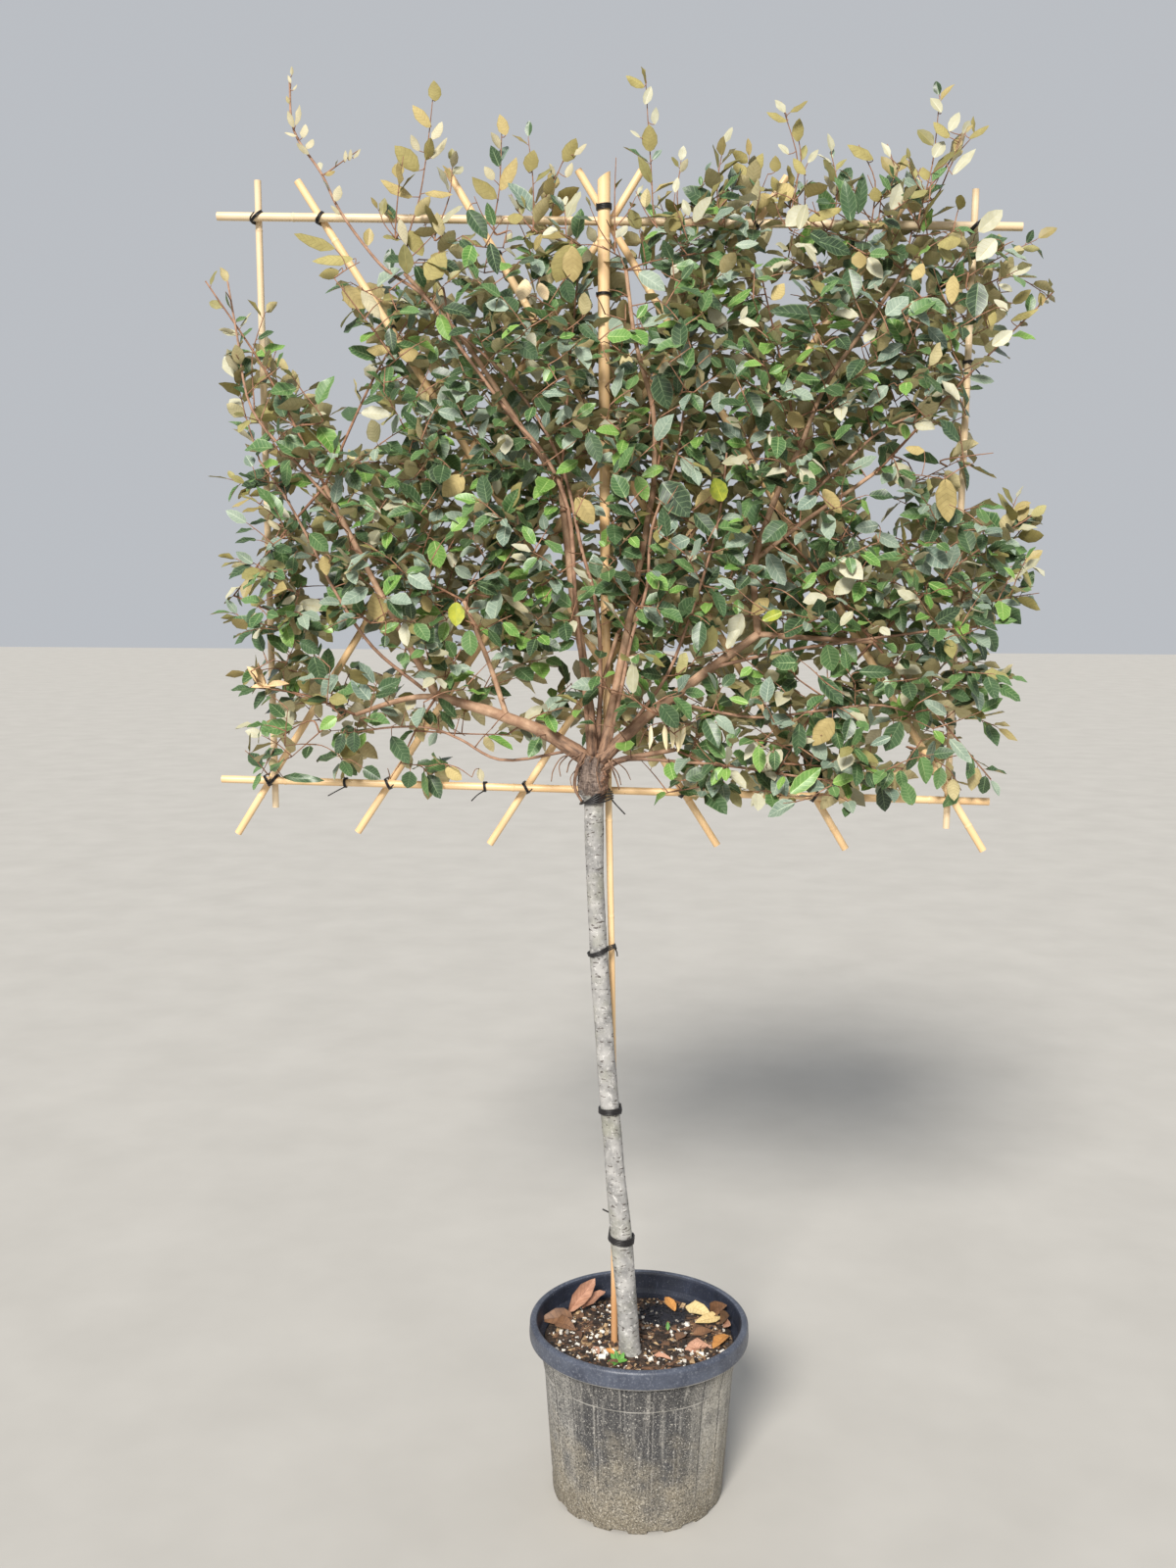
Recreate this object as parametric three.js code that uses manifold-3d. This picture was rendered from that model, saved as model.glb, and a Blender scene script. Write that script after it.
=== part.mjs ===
// Potted espalier elaeagnus: an evergreen shrub grafted on a tall bare trunk and trained flat on
// a lattice of bamboo canes, in a black nursery pot. Millimetres, +Z up. The origin is the centre
// of the pot's underside, X runs to the right along the lattice and +Y runs away from its front.

import * as THREE from "three";
import { mergeVertices } from "three/addons/utils/BufferGeometryUtils.js";
import Module from "manifold-3d";

const wasm = await Module();
wasm.setup();

// General
const GAP = 0.3;
const WELD = 1e-4;
const vec = (x, y, z) => new THREE.Vector3(x, y, z);
const BACK = vec(0, 1, 0);
const UP = vec(0, 0, 1);

// Pot
const POT_HEIGHT = 368;
const POT_FOOT_RADIUS = 176;
const POT_NECK_RADIUS = 199;
const POT_RIM_RADIUS = 226;
const POT_RIM_DEPTH = 34;
const POT_WALL = 4;
const POT_FLOOR = 12;
const POT_CREST_RADIUS = 8;
const POT_RIM_LEAN = 1.5;
const POT_FOOT_CHAMFER = 4;
const POT_STEP_HEIGHT = 5;
const POT_SIDES = 30;
const NOTCH_COUNT = 15;
const NOTCH_WIDTH = 33;
const NOTCH_HEIGHT = 8;
const NOTCH_DEPTH = 11;
const NOTCH_START = -77;

// Soil
const SOIL_LEVEL = 330;
const SOIL_WALL_GAP = 0.6;
const SOIL_EDGE_DROP = 7;
const SOIL_FLAT_RADIUS = 150;

// Trunk: the centre line's X, its height and its diameter, from the soil to the graft swelling
const TRUNK_Y = -76;
const TRUNK_SIDES = 14;
const WOOD_FOOT = SOIL_LEVEL + GAP;
const BELOW_SOIL = SOIL_LEVEL - 12;
const TRUNK_STATIONS = [
  [-14, BELOW_SOIL, 50],
  [-18, 352, 42.5],
  [-24, 442, 41.6],
  [-35, 567, 43],
  [-47, 690, 39],
  [-56, 792, 38],
  [-73, 993, 36],
  [-85, 1171, 34.6],
  [-93, 1330, 34.5],
  [-94, 1424, 37],
  [-94, 1448, 46],
  [-94, 1464, 63],
  [-93, 1486, 69],
  [-92, 1508, 66],
  [-90, 1530, 60],
  [-88, 1550, 44],
  [-88, 1560, 22],
];

// Canes: every straight cane is a stock length, and each layer lies on the one behind it
const BAR_LENGTH = 1507;
const UPRIGHT_LENGTH = 1200;
const DIAGONAL_LENGTH = 1503;
const TOP_BAR_DIAMETER = 16;
const BOTTOM_BAR_DIAMETER = 15;
const UPRIGHT_DIAMETER = 13;
const DIAGONAL_DIAMETER = 14.4;
const CANE_SIDES = 8;
const CANE_NODES = 2;
const CANE_NODE_SWELL = 1.2;
const CANE_NODE_LENGTH = 9;
const BAR_Y = -10;
const FALLING_Y = BAR_Y + (TOP_BAR_DIAMETER + DIAGONAL_DIAMETER) / 2 + GAP;
const UPRIGHT_Y = BAR_Y + (TOP_BAR_DIAMETER + UPRIGHT_DIAMETER) / 2 + GAP;
const RISING_Y = FALLING_Y + DIAGONAL_DIAMETER + GAP;
const FRONT_FOOT_Y = BAR_Y - (BOTTOM_BAR_DIAMETER + DIAGONAL_DIAMETER) / 2 - 4;
const FLEX_FROM = 0.25;
const FLEX_TO = 0.9;

// Stock canes: the name, the upper end, the lean from the vertical in degrees, to the right going
// down, the length and the diameter, and the depth of the lower end where it differs
const STOCK_CANES = [
  ["cane_bar_top", vec(-817, BAR_Y, 2552), 88.9, BAR_LENGTH, TOP_BAR_DIAMETER],
  ["cane_bar_bottom", vec(-837, BAR_Y, 1478), 88.93, BAR_LENGTH, BOTTOM_BAR_DIAMETER],
  ["cane_upright_left", vec(-742, UPRIGHT_Y, 2620), 0.38, UPRIGHT_LENGTH, UPRIGHT_DIAMETER],
  ["cane_upright_right", vec(605, UPRIGHT_Y, 2594), -0.62, UPRIGHT_LENGTH, UPRIGHT_DIAMETER],
  ["cane_falling_left", vec(-666, FALLING_Y, 2619), 32.7, DIAGONAL_LENGTH, DIAGONAL_DIAMETER],
  ["cane_falling_middle", vec(-381, FALLING_Y, 2636), 31.2, DIAGONAL_LENGTH, DIAGONAL_DIAMETER],
  ["cane_falling_right", vec(-134, FALLING_Y, 2634), 31.8, DIAGONAL_LENGTH, DIAGONAL_DIAMETER,
    FRONT_FOOT_Y],
  ["cane_rising_left", vec(-15, RISING_Y, 2636), -32.2, DIAGONAL_LENGTH, DIAGONAL_DIAMETER],
  ["cane_rising_middle", vec(257, RISING_Y, 2623), -33.5, DIAGONAL_LENGTH, DIAGONAL_DIAMETER],
  ["cane_rising_right", vec(503, RISING_Y, 2615), -32.6, DIAGONAL_LENGTH, DIAGONAL_DIAMETER],
].map(([name, top, lean, length, diameter, footY = top.y]) => {
  return { name, top, lean, length, diameter, footY };
});

// Centre cane: X, Y, height and diameter, from its foot in the soil to its oblique top cut
const CENTRE_CANE_STATIONS = [
  [-49, -38, BELOW_SOIL, 15],
  [-52, -41, 720, 15.5],
  [-57, -44, 1139, 17],
  [-66, -36, 1463, 19],
  [-77, -30, 1858, 21],
  [-83, -30.2, 2400, 23.6],
  [-84, -30.4, 2655, 24.5],
];
const CENTRE_CUT_SLOPE = 40;
const CUTTER_SIZE = 120;

// Boughs: the path from root to tip, and the diameters there. A bough starts inside the limb that
// carries it and is trimmed to that limb's surface.
const LEFT_FORK = vec(-399, -60, 1650);
const RIGHT_FORK = vec(214, -60, 1772);
const LEFT_TIP = vec(-611, -52, 2048);
const INNER_TIP = vec(-345, -62, 1832);
const CENTRE_LEFT_TIP = vec(-160, -62, 2048);
const CENTRE_TIP = vec(-52, -66, 1772);
const CENTRE_RIGHT_TIP = vec(14, -60, 2048);
const TOP_LEFT_TIP = vec(-454, -50, 2438);
const TOP_CENTRE_TIP = vec(-41, -66, 2438);
const RIGHT_TIP = vec(286, -54, 2118);
const OUTER_TIP = vec(431, -56, 1759);
const FAR_RIGHT_TIP = vec(431, -50, 2076);
const TOP_RIGHT_TIP = vec(469, -50, 2438);
const LEFT_FOOT_TIP = vec(-558, -56, 1612);
const RIGHT_FOOT_TIP = vec(60, -70, 1552);
const BOUGH_SIDES = 6;
const BOUGHS = [
  ["bough_left", 24, 18,
    [vec(-100, -78, 1528), vec(-184, -70, 1579), vec(-290, -64, 1619), LEFT_FORK]],
  ["bough_left_foot", 12, 8,
    [LEFT_FORK, vec(-450, -56, 1646), vec(-508, -54, 1630), LEFT_FOOT_TIP]],
  ["bough_left_rising", 15, 10, [LEFT_FORK, vec(-431, -56, 1706), vec(-513, -52, 1856), LEFT_TIP]],
  ["bough_left_inner", 11, 8, [vec(-262, -66, 1608), vec(-292, -66, 1700), INNER_TIP]],
  ["bough_centre_left", 17, 13,
    [vec(-97, -80, 1540), vec(-109, -70, 1671), vec(-136, -64, 1839), CENTRE_LEFT_TIP]],
  ["bough_top_left", 11, 8,
    [CENTRE_LEFT_TIP, vec(-238, -58, 2160), vec(-340, -54, 2310), TOP_LEFT_TIP]],
  ["bough_centre", 9, 7, [vec(-88, -70, 1545), vec(-82, -66, 1660), CENTRE_TIP]],
  ["bough_centre_right", 16, 11,
    [vec(-78, -82, 1540), vec(-50, -76, 1690), vec(-20, -66, 1849), CENTRE_RIGHT_TIP]],
  ["bough_top_centre", 10, 7,
    [CENTRE_RIGHT_TIP, vec(12, -62, 2180), vec(-22, -66, 2310), TOP_CENTRE_TIP]],
  ["bough_right", 20, 16,
    [vec(-84, -84, 1530), vec(-8, -74, 1603), vec(100, -66, 1688), RIGHT_FORK]],
  ["bough_right_rising", 14, 10,
    [RIGHT_FORK, vec(206, -58, 1900), vec(248, -56, 2040), RIGHT_TIP]],
  ["bough_right_outer", 12, 9, [RIGHT_FORK, vec(302, -58, 1766), OUTER_TIP]],
  ["bough_far_right", 9, 7,
    [vec(210, -58, 1915), vec(300, -54, 1985), vec(380, -50, 2040), FAR_RIGHT_TIP]],
  ["bough_top_right", 9, 7,
    [RIGHT_TIP, vec(330, -52, 2230), vec(410, -50, 2350), TOP_RIGHT_TIP]],
  ["bough_right_foot", 11, 8, [vec(-84, -90, 1512), vec(-49, -84, 1530), RIGHT_FOOT_TIP]],
];

// Ties of black wire. A ring round the trunk is larger, so its straight spans need more slack.
const TIE_THICKNESS = 4;
const TRUNK_TIE_SLACK = 1.5;
const LATTICE_TIE_SLACK = 1;
const TIE_RING_STEPS = 14;
const TIE_WIRE_SIDES = 4;

// Ties that bind the trunk to the centre cane, each with its height
const TRUNK_TIES = [
  ["tie_trunk_low", 571],
  ["tie_trunk_middle", 837],
  ["tie_trunk_high", 1156],
  ["tie_knob", 1440],
];

// Ties that bind two canes of the lattice, with the canes and a place near their crossing
const LATTICE_TIES = [
  ["tie_top_left", "cane_bar_top", "cane_upright_left", vec(-740, 0, 2550)],
  ["tie_top_inner", "cane_bar_top", "cane_falling_left", vec(-620, 0, 2548)],
  ["tie_top_right", "cane_bar_top", "cane_upright_right", vec(604, 0, 2524)],
  ["tie_bottom_left", "cane_bar_bottom", "cane_upright_left", vec(-734, 0, 1476)],
];

// Crown: its spaces are cells in rows, each row with walls and a depth of its own. Two masses stay
// clear of each other by twice the seam.
const SEAM = 0.15;
const CROWN_MIDDLE_Y = -20;
const CROWN_ROWS = [
  { floor: 1440, top: 1759, front: -205, back: 145, walls: [-832, -558, -130, 190, 431, 744] },
  { floor: 1759, top: 2048, front: -225, back: 165, walls: [-832, -611, -345, -95, 150, 431, 744] },
  { floor: 2048, top: 2438, front: -215, back: 155, walls: [-836, -611, -345, -95, 150, 431, 748] },
  { floor: 2438, top: 2826, front: -165, back: 105, walls: [-836, -454, -250, -41, 210, 469, 744] },
];

// Masses of foliage: row and column of the cell, the limb tip that the stem meets, the X and
// height that the stem reaches, further shoots that reach the crown's outline, and the number
// of twigs that fill the cell
const MASSES = [
  ["foliage_left_foot", 0, 0, LEFT_FOOT_TIP, [-760, 1665], [[-742, 1530]], 5],
  ["foliage_left_inner_foot", 0, 1, LEFT_FORK, [-470, 1520], [[-250, 1690]], 6],
  ["foliage_right_foot", 0, 2, RIGHT_FOOT_TIP, [165, 1480], [[100, 1690]], 6],
  ["foliage_right_low", 0, 3, OUTER_TIP, [250, 1500], [[400, 1460]], 6],
  ["foliage_far_right_foot", 0, 4, OUTER_TIP, [660, 1500], [[700, 1720]], 6],
  ["foliage_left_middle", 1, 0, LEFT_TIP, [-790, 1840], [[-770, 2010]], 5],
  ["foliage_left_inner", 1, 1, INNER_TIP, [-560, 1930], [[-430, 2030]], 6],
  ["foliage_centre_left", 1, 2, INNER_TIP, [-170, 2000], [[-150, 1810]], 6],
  ["foliage_centre", 1, 3, CENTRE_TIP, [110, 1990], [[100, 1800]], 6],
  ["foliage_right_middle", 1, 4, OUTER_TIP, [200, 2010], [[390, 2030]], 6],
  ["foliage_far_right_middle", 1, 5, OUTER_TIP, [734, 2006], [[715, 1840]], 6],
  ["foliage_left_high", 2, 0, LEFT_TIP, [-828, 2424], [[-690, 2330]], 5],
  ["foliage_left_inner_high", 2, 1, LEFT_TIP, [-400, 2420], [[-590, 2190]], 5],
  ["foliage_centre_left_high", 2, 2, CENTRE_LEFT_TIP, [-130, 2420], [[-320, 2150]], 6],
  ["foliage_centre_high", 2, 3, CENTRE_RIGHT_TIP, [100, 2420], [[-70, 2150]], 6],
  ["foliage_right_high", 2, 4, RIGHT_TIP, [210, 2420], [[410, 2200]], 6],
  ["foliage_far_right_high", 2, 5, FAR_RIGHT_TIP, [740, 2398], [[600, 2130]], 6],
  ["foliage_left_crest", 3, 0, TOP_LEFT_TIP, [-664, 2820], [[-560, 2500]], 3],
  ["foliage_inner_crest", 3, 1, TOP_LEFT_TIP, [-420, 2790], [[-300, 2560]], 4],
  ["foliage_centre_left_crest", 3, 2, TOP_CENTRE_TIP, [-235, 2730], [[-100, 2690]], 5],
  ["foliage_centre_crest", 3, 3, TOP_CENTRE_TIP, [-15, 2812], [[140, 2690]], 5],
  ["foliage_right_crest", 3, 4, TOP_RIGHT_TIP, [250, 2765], [[400, 2710]], 5],
  ["foliage_far_right_crest", 3, 5, TOP_RIGHT_TIP, [545, 2775], [[690, 2520]], 5],
];

// Foliage rule
const CROWN_SEED = 71;
const STEM_DIAMETER = 6;
const STEM_TIP_DIAMETER = 3;
const STEM_SIDES = 4;
const STEM_STEPS = 2;
const STEM_BOW = 0.08;
const STEM_DRIFT = 30;
const STEM_FORKS = 12;
const STEM_BARE = 0.4;
const TWIG_DIAMETER = 4.6;
const TWIG_TIP_DIAMETER = 2.6;
const TWIG_SIDES = 3;
const TWIG_LIFT = 0.12;
const TWIG_SHORTEST = 55;
const TWIG_TRIES = 9;
const TWIG_JITTER = 14;
const TWIG_FORKS = 4;
const TWIG_BARE = 0.35;
const SHOOT_SPREAD = 60;
const SIDE_MARGIN = 30;
const DEPTH_MARGIN = 20;
const SPREAD_STEPS = [0.8191725, 0.6710436, 0.5497005];
const SPREAD_OFFSET = 0.137;
const LEAF_LENGTH = 132;
const LEAF_WIDTH = 0.54;
const LEAF_CUP = 5;
const LEAF_WIDEST = 0.45;
const LEAF_SINK = 0.9;
const LAST_LEAF = 0.97;
const LEAF_SPACING = 42;
const LEAF_ANGLE = 52;
const LEAF_ANGLE_SPREAD = 14;
const LAST_LEAF_ANGLE = 12;
const LAST_LEAF_SPREAD = 10;
const LEAF_LENGTH_SPREAD = 0.14;
const LEAF_TRIES = 6;
const CLEARANCE = 1.2;

const PALETTE = {
  pot: { color: 0x5a5854, roughness: 0.62 },
  soil: { color: 0x4a3b30, roughness: 1.0 },
  bark: { color: 0x9b978c, roughness: 0.85 },
  bough: { color: 0x8f7758, roughness: 0.8 },
  cane: { color: 0xd8b980, roughness: 0.45 },
  wire: { color: 0x1b1b1d, roughness: 0.5 },
  foliage: { color: 0x4c5a34, roughness: 0.55 },
};

const part = new THREE.Group();

// Adds one closed geometry to the part under its name.
function place(name, geometry, finish) {
  const material = new THREE.MeshStandardMaterial({ ...PALETTE[finish], metalness: 0 });
  geometry.computeVertexNormals();
  const mesh = new THREE.Mesh(geometry, material);
  mesh.name = name;
  part.add(mesh);
}

// Joins shared vertices and drops the triangles that shrink to nothing at a pole.
function welded(geometry) {
  geometry.deleteAttribute("normal");
  geometry.deleteAttribute("uv");
  const merged = mergeVertices(geometry, WELD);
  const corners = merged.index.array;
  const kept = [];
  for (let i = 0; i < corners.length; i += 3) {
    const [a, b, c] = [corners[i], corners[i + 1], corners[i + 2]];
    if (a !== b && b !== c && c !== a) kept.push(a, b, c);
  }
  merged.setIndex(kept);
  return merged;
}

// A closed geometry as a solid that can be joined and cut.
function solidOf(geometry) {
  const merged = welded(geometry);
  const mesh = new wasm.Mesh({
    numProp: 3,
    vertProperties: new Float32Array(merged.attributes.position.array),
    triVerts: new Uint32Array(merged.index.array),
  });
  return new wasm.Manifold(mesh);
}

function geometryOf(solid) {
  const mesh = solid.getMesh();
  const geometry = new THREE.BufferGeometry();
  geometry.setAttribute("position", new THREE.BufferAttribute(mesh.vertProperties, 3));
  geometry.setIndex(new THREE.BufferAttribute(mesh.triVerts, 1));
  return geometry;
}

// The largest body of a solid, without loose scraps and sealed hollows.
function wholeBody(solid) {
  return solid.decompose().reduce((best, body) => (body.volume() > best.volume() ? body : best));
}

// Seeded random numbers between 0 and 1.
function randomFrom(seed) {
  let state = seed;
  return () => {
    state = (1664525 * state + 1013904223) % 4294967296;
    return state / 4294967296;
  };
}

// The rings of a round limb along a smooth path through its stations, each station with a place
// and a diameter. grow thickens the limb, to trim and test its neighbours with.
function ringsOf(stations, stepsPerSpan, grow = 0) {
  const curve = new THREE.CatmullRomCurve3(stations.map((station) => station.at), false, "centripetal");
  const lean = Math.abs(curve.getTangent(0).y) < 0.9 ? BACK : UP;
  const spans = stations.length - 1;
  const steps = spans * stepsPerSpan;
  const rings = [...Array(steps + 1).keys()].map((step) => {
    const share = step / steps;
    const span = Math.min(Math.floor(share * spans), spans - 1);
    const [from, to] = [stations[span].diameter, stations[span + 1].diameter];
    const radius = THREE.MathUtils.lerp(from, to, share * spans - span) / 2 + grow;
    const along = curve.getTangent(share);
    const round = lean.clone().addScaledVector(along, -lean.dot(along)).normalize();
    const across = new THREE.Vector3().crossVectors(along, round);
    return { at: curve.getPoint(share), along, round, across, radius };
  });
  rings[0].at.addScaledVector(rings[0].along, -grow);
  rings[steps].at.addScaledVector(rings[steps].along, grow);
  return rings;
}

// The place on a limb's axis at a share of its length, with the directions along and across it.
function onLimb(rings, share) {
  const place = share * (rings.length - 1);
  const index = Math.min(Math.floor(place), rings.length - 2);
  const [from, to] = [rings[index], rings[index + 1]];
  const along = to.at.clone().sub(from.at).normalize();
  const round = from.round.clone().addScaledVector(along, -from.round.dot(along)).normalize();
  const across = new THREE.Vector3().crossVectors(along, round);
  return { at: from.at.clone().lerp(to.at, place - index), along, round, across };
}

// The solid of a limb: a cylinder bent along its rings.
function bent(rings, sides) {
  const steps = rings.length - 1;
  const geometry = new THREE.CylinderGeometry(1, 1, steps, sides, steps);
  const position = geometry.attributes.position;
  for (let i = 0; i < position.count; i += 1) {
    const ring = rings[Math.round(position.getY(i) + steps / 2)];
    const point = ring.at.clone();
    point.addScaledVector(ring.across, position.getX(i) * ring.radius);
    point.addScaledVector(ring.round, position.getZ(i) * ring.radius);
    position.setXYZ(i, point.x, point.y, point.z);
  }
  return solidOf(geometry);
}

function limb(stations, sides, stepsPerSpan, grow = 0) {
  return bent(ringsOf(stations, stepsPerSpan, grow), sides);
}

// A path whose diameter tapers evenly from its first point to its last.
function tapering(points, rootDiameter, tipDiameter) {
  return points.map((at, i) => {
    const share = i / (points.length - 1);
    return { at, diameter: THREE.MathUtils.lerp(rootDiameter, tipDiameter, share) };
  });
}

// A bamboo cane with swollen nodes, from its upper end down. It flexes from the depth of its upper
// end to that of its foot between the two bars that it is tied to.
function caneStations({ top, lean, length, diameter, footY }) {
  const angle = THREE.MathUtils.degToRad(lean);
  const at = (share) => {
    const run = length * share;
    const y = THREE.MathUtils.lerp(top.y, footY, THREE.MathUtils.smoothstep(share, FLEX_FROM, FLEX_TO));
    return vec(top.x + run * Math.sin(angle), y, top.z - run * Math.cos(angle));
  };
  const halfNode = CANE_NODE_LENGTH / 2 / length;
  const stations = [{ at: at(0), diameter }];
  for (let node = 0; node < CANE_NODES; node += 1) {
    const share = (node + 0.5) / CANE_NODES;
    stations.push({ at: at(share - halfNode), diameter });
    stations.push({ at: at(share), diameter: diameter + CANE_NODE_SWELL });
    stations.push({ at: at(share + halfNode), diameter });
  }
  stations.push({ at: at(1), diameter });
  return stations;
}

function pot() {
  const points = [];
  const at = (radius, height) => points.push(new THREE.Vector2(radius, height));
  const neck = POT_HEIGHT - POT_RIM_DEPTH;
  const crest = POT_HEIGHT - POT_CREST_RADIUS;
  const crestCentre = POT_RIM_RADIUS - POT_RIM_LEAN - POT_CREST_RADIUS;
  at(0, 0);
  at(POT_FOOT_RADIUS - POT_FOOT_CHAMFER, 0);
  at(POT_FOOT_RADIUS, POT_FOOT_CHAMFER);
  at(POT_NECK_RADIUS, neck - POT_STEP_HEIGHT / 2);
  at(POT_RIM_RADIUS - POT_STEP_HEIGHT / 2, neck);
  at(POT_RIM_RADIUS, neck + POT_STEP_HEIGHT);
  for (let turn = 0; turn <= 180; turn += 45) {
    const angle = THREE.MathUtils.degToRad(turn);
    at(crestCentre + POT_CREST_RADIUS * Math.cos(angle), crest + POT_CREST_RADIUS * Math.sin(angle));
  }
  at(POT_NECK_RADIUS - POT_WALL, neck);
  at(POT_FOOT_RADIUS - POT_WALL, POT_FLOOR);
  at(0, POT_FLOOR);
  const turned = new THREE.LatheGeometry(points, POT_SIDES);
  turned.rotateX(Math.PI / 2);
  let body = solidOf(turned);
  for (let notch = 0; notch < NOTCH_COUNT; notch += 1) {
    const box = new THREE.BoxGeometry(2 * NOTCH_DEPTH, NOTCH_WIDTH, 2 * NOTCH_HEIGHT);
    box.translate(POT_FOOT_RADIUS, 0, 0);
    box.rotateZ(THREE.MathUtils.degToRad(NOTCH_START + (360 * notch) / NOTCH_COUNT));
    body = body.subtract(solidOf(box));
  }
  place("pot", geometryOf(body), "pot");
}

// The inner wall's radius at a height, where the soil lies against it.
function potInside(height) {
  const neck = POT_HEIGHT - POT_RIM_DEPTH;
  const share = (height - POT_FLOOR) / (neck - POT_FLOOR);
  return THREE.MathUtils.lerp(POT_FOOT_RADIUS - POT_WALL, POT_NECK_RADIUS - POT_WALL, share);
}

function soil() {
  const foot = POT_FLOOR + GAP;
  const edge = SOIL_LEVEL - SOIL_EDGE_DROP;
  const points = [
    new THREE.Vector2(0, foot),
    new THREE.Vector2(potInside(foot) - SOIL_WALL_GAP, foot),
    new THREE.Vector2(potInside(edge) - SOIL_WALL_GAP, edge),
    new THREE.Vector2(SOIL_FLAT_RADIUS, SOIL_LEVEL),
    new THREE.Vector2(0, SOIL_LEVEL),
  ];
  const turned = new THREE.LatheGeometry(points, POT_SIDES);
  turned.rotateX(Math.PI / 2);
  place("soil", welded(turned), "soil");
}

function trunkStations() {
  return TRUNK_STATIONS.map(([x, height, diameter]) => ({ at: vec(x, TRUNK_Y, height), diameter }));
}

function centreCaneStations() {
  return CENTRE_CANE_STATIONS.map(([x, y, height, diameter]) => ({ at: vec(x, y, height), diameter }));
}

// The trunk, cut flat where it meets the soil.
function trunk(grow = 0) {
  return aboveSoil(limb(trunkStations(), TRUNK_SIDES, 1, grow));
}

function aboveSoil(solid) {
  const size = 4 * POT_RIM_RADIUS;
  const below = new THREE.BoxGeometry(size, size, size);
  below.translate(0, 0, WOOD_FOOT - size / 2);
  return solid.subtract(solidOf(below));
}

// The centre cane, whose top is cut off obliquely.
function centreCane(grow = 0) {
  const stations = centreCaneStations();
  const body = limb(stations, CANE_SIDES, 1, grow);
  const top = stations.at(-1);
  const cutter = new THREE.BoxGeometry(CUTTER_SIZE, CUTTER_SIZE, CUTTER_SIZE);
  cutter.translate(0, 0, CUTTER_SIZE / 2);
  cutter.rotateY(THREE.MathUtils.degToRad(CENTRE_CUT_SLOPE));
  cutter.translate(top.at.x, top.at.y, top.at.z - top.diameter / 2 + grow);
  return aboveSoil(body.subtract(solidOf(cutter)));
}

// The point of a limb's stations at a height.
function pointAtHeight(stations, height) {
  const above = stations.findIndex((station) => station.at.z > height);
  const [low, high] = [stations[above - 1], stations[above]];
  const share = (height - low.at.z) / (high.at.z - low.at.z);
  return {
    at: low.at.clone().lerp(high.at, share),
    diameter: THREE.MathUtils.lerp(low.diameter, high.diameter, share),
  };
}

// A ring of wire pulled tight round two round limbs, in the plane across the given normal. Each
// section is { at, diameter, along }, and a limb that runs aslant through the plane has an oval
// section there.
function tie(sections, normal, slack) {
  const across = new THREE.Vector3().crossVectors(BACK, normal).normalize();
  const wire = TIE_THICKNESS / 2;
  const outline = (turn) => {
    const facing = across.clone().multiplyScalar(Math.cos(turn)).addScaledVector(BACK, Math.sin(turn));
    const reaches = sections.map(({ at, diameter, along }) => {
      const depth = diameter / 2 + slack + wire;
      const width = depth / Math.abs(along.dot(normal));
      const scale = Math.hypot(width * Math.cos(turn), depth * Math.sin(turn));
      const point = at.clone();
      point.addScaledVector(across, (width ** 2 * Math.cos(turn)) / scale);
      point.addScaledVector(BACK, (depth ** 2 * Math.sin(turn)) / scale);
      return { point, reach: point.dot(facing) };
    });
    const furthest = reaches.reduce((best, other) => (other.reach > best.reach ? other : best));
    return { centre: furthest.point, facing };
  };
  const radius = 10;
  const ring = new THREE.TorusGeometry(radius, 1, TIE_WIRE_SIDES, TIE_RING_STEPS);
  const position = ring.attributes.position;
  for (let i = 0; i < position.count; i += 1) {
    const [x, y, z] = [position.getX(i), position.getY(i), position.getZ(i)];
    const { centre, facing } = outline(Math.atan2(y, x));
    centre.addScaledVector(facing, (Math.hypot(x, y) - radius) * wire);
    centre.addScaledVector(normal, z * wire);
    position.setXYZ(i, centre.x, centre.y, centre.z);
  }
  return solidOf(ring);
}

// The point of a stock cane nearest to a place, as a section to tie round.
function caneSection(name, near) {
  const stations = caneStations(STOCK_CANES.find((stock) => stock.name === name));
  const line = new THREE.Line3(stations[0].at, stations.at(-1).at);
  const at = line.closestPointToPoint(near, true, vec(0, 0, 0));
  return { at, diameter: stations[0].diameter, along: line.delta(vec(0, 0, 0)).normalize() };
}

// One leaf as a shallow boat of four faces, from its root to its tip, with its margins raised.
function leaf(root, direction, facing, length) {
  const across = new THREE.Vector3().crossVectors(facing, direction).normalize();
  const above = new THREE.Vector3().crossVectors(direction, across);
  const tip = root.clone().addScaledVector(direction, length);
  const middle = root.clone().addScaledVector(direction, length * LEAF_WIDEST);
  middle.addScaledVector(above, LEAF_CUP);
  const left = middle.clone().addScaledVector(across, (length * LEAF_WIDTH) / 2);
  const right = middle.clone().addScaledVector(across, (-length * LEAF_WIDTH) / 2);
  const geometry = new THREE.BufferGeometry().setFromPoints([root, left, tip, right]);
  geometry.setIndex([0, 3, 1, 1, 3, 2, 0, 1, 2, 0, 2, 3]);
  return geometry;
}

// The space of one mass: a cell of the crown, as a box.
function cellOf(row, column) {
  const { floor, top, front, back, walls } = CROWN_ROWS[row];
  return new THREE.Box3(
    vec(walls[column] + SEAM, front, floor + SEAM),
    vec(walls[column + 1] - SEAM, back, top - SEAM),
  );
}

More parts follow.
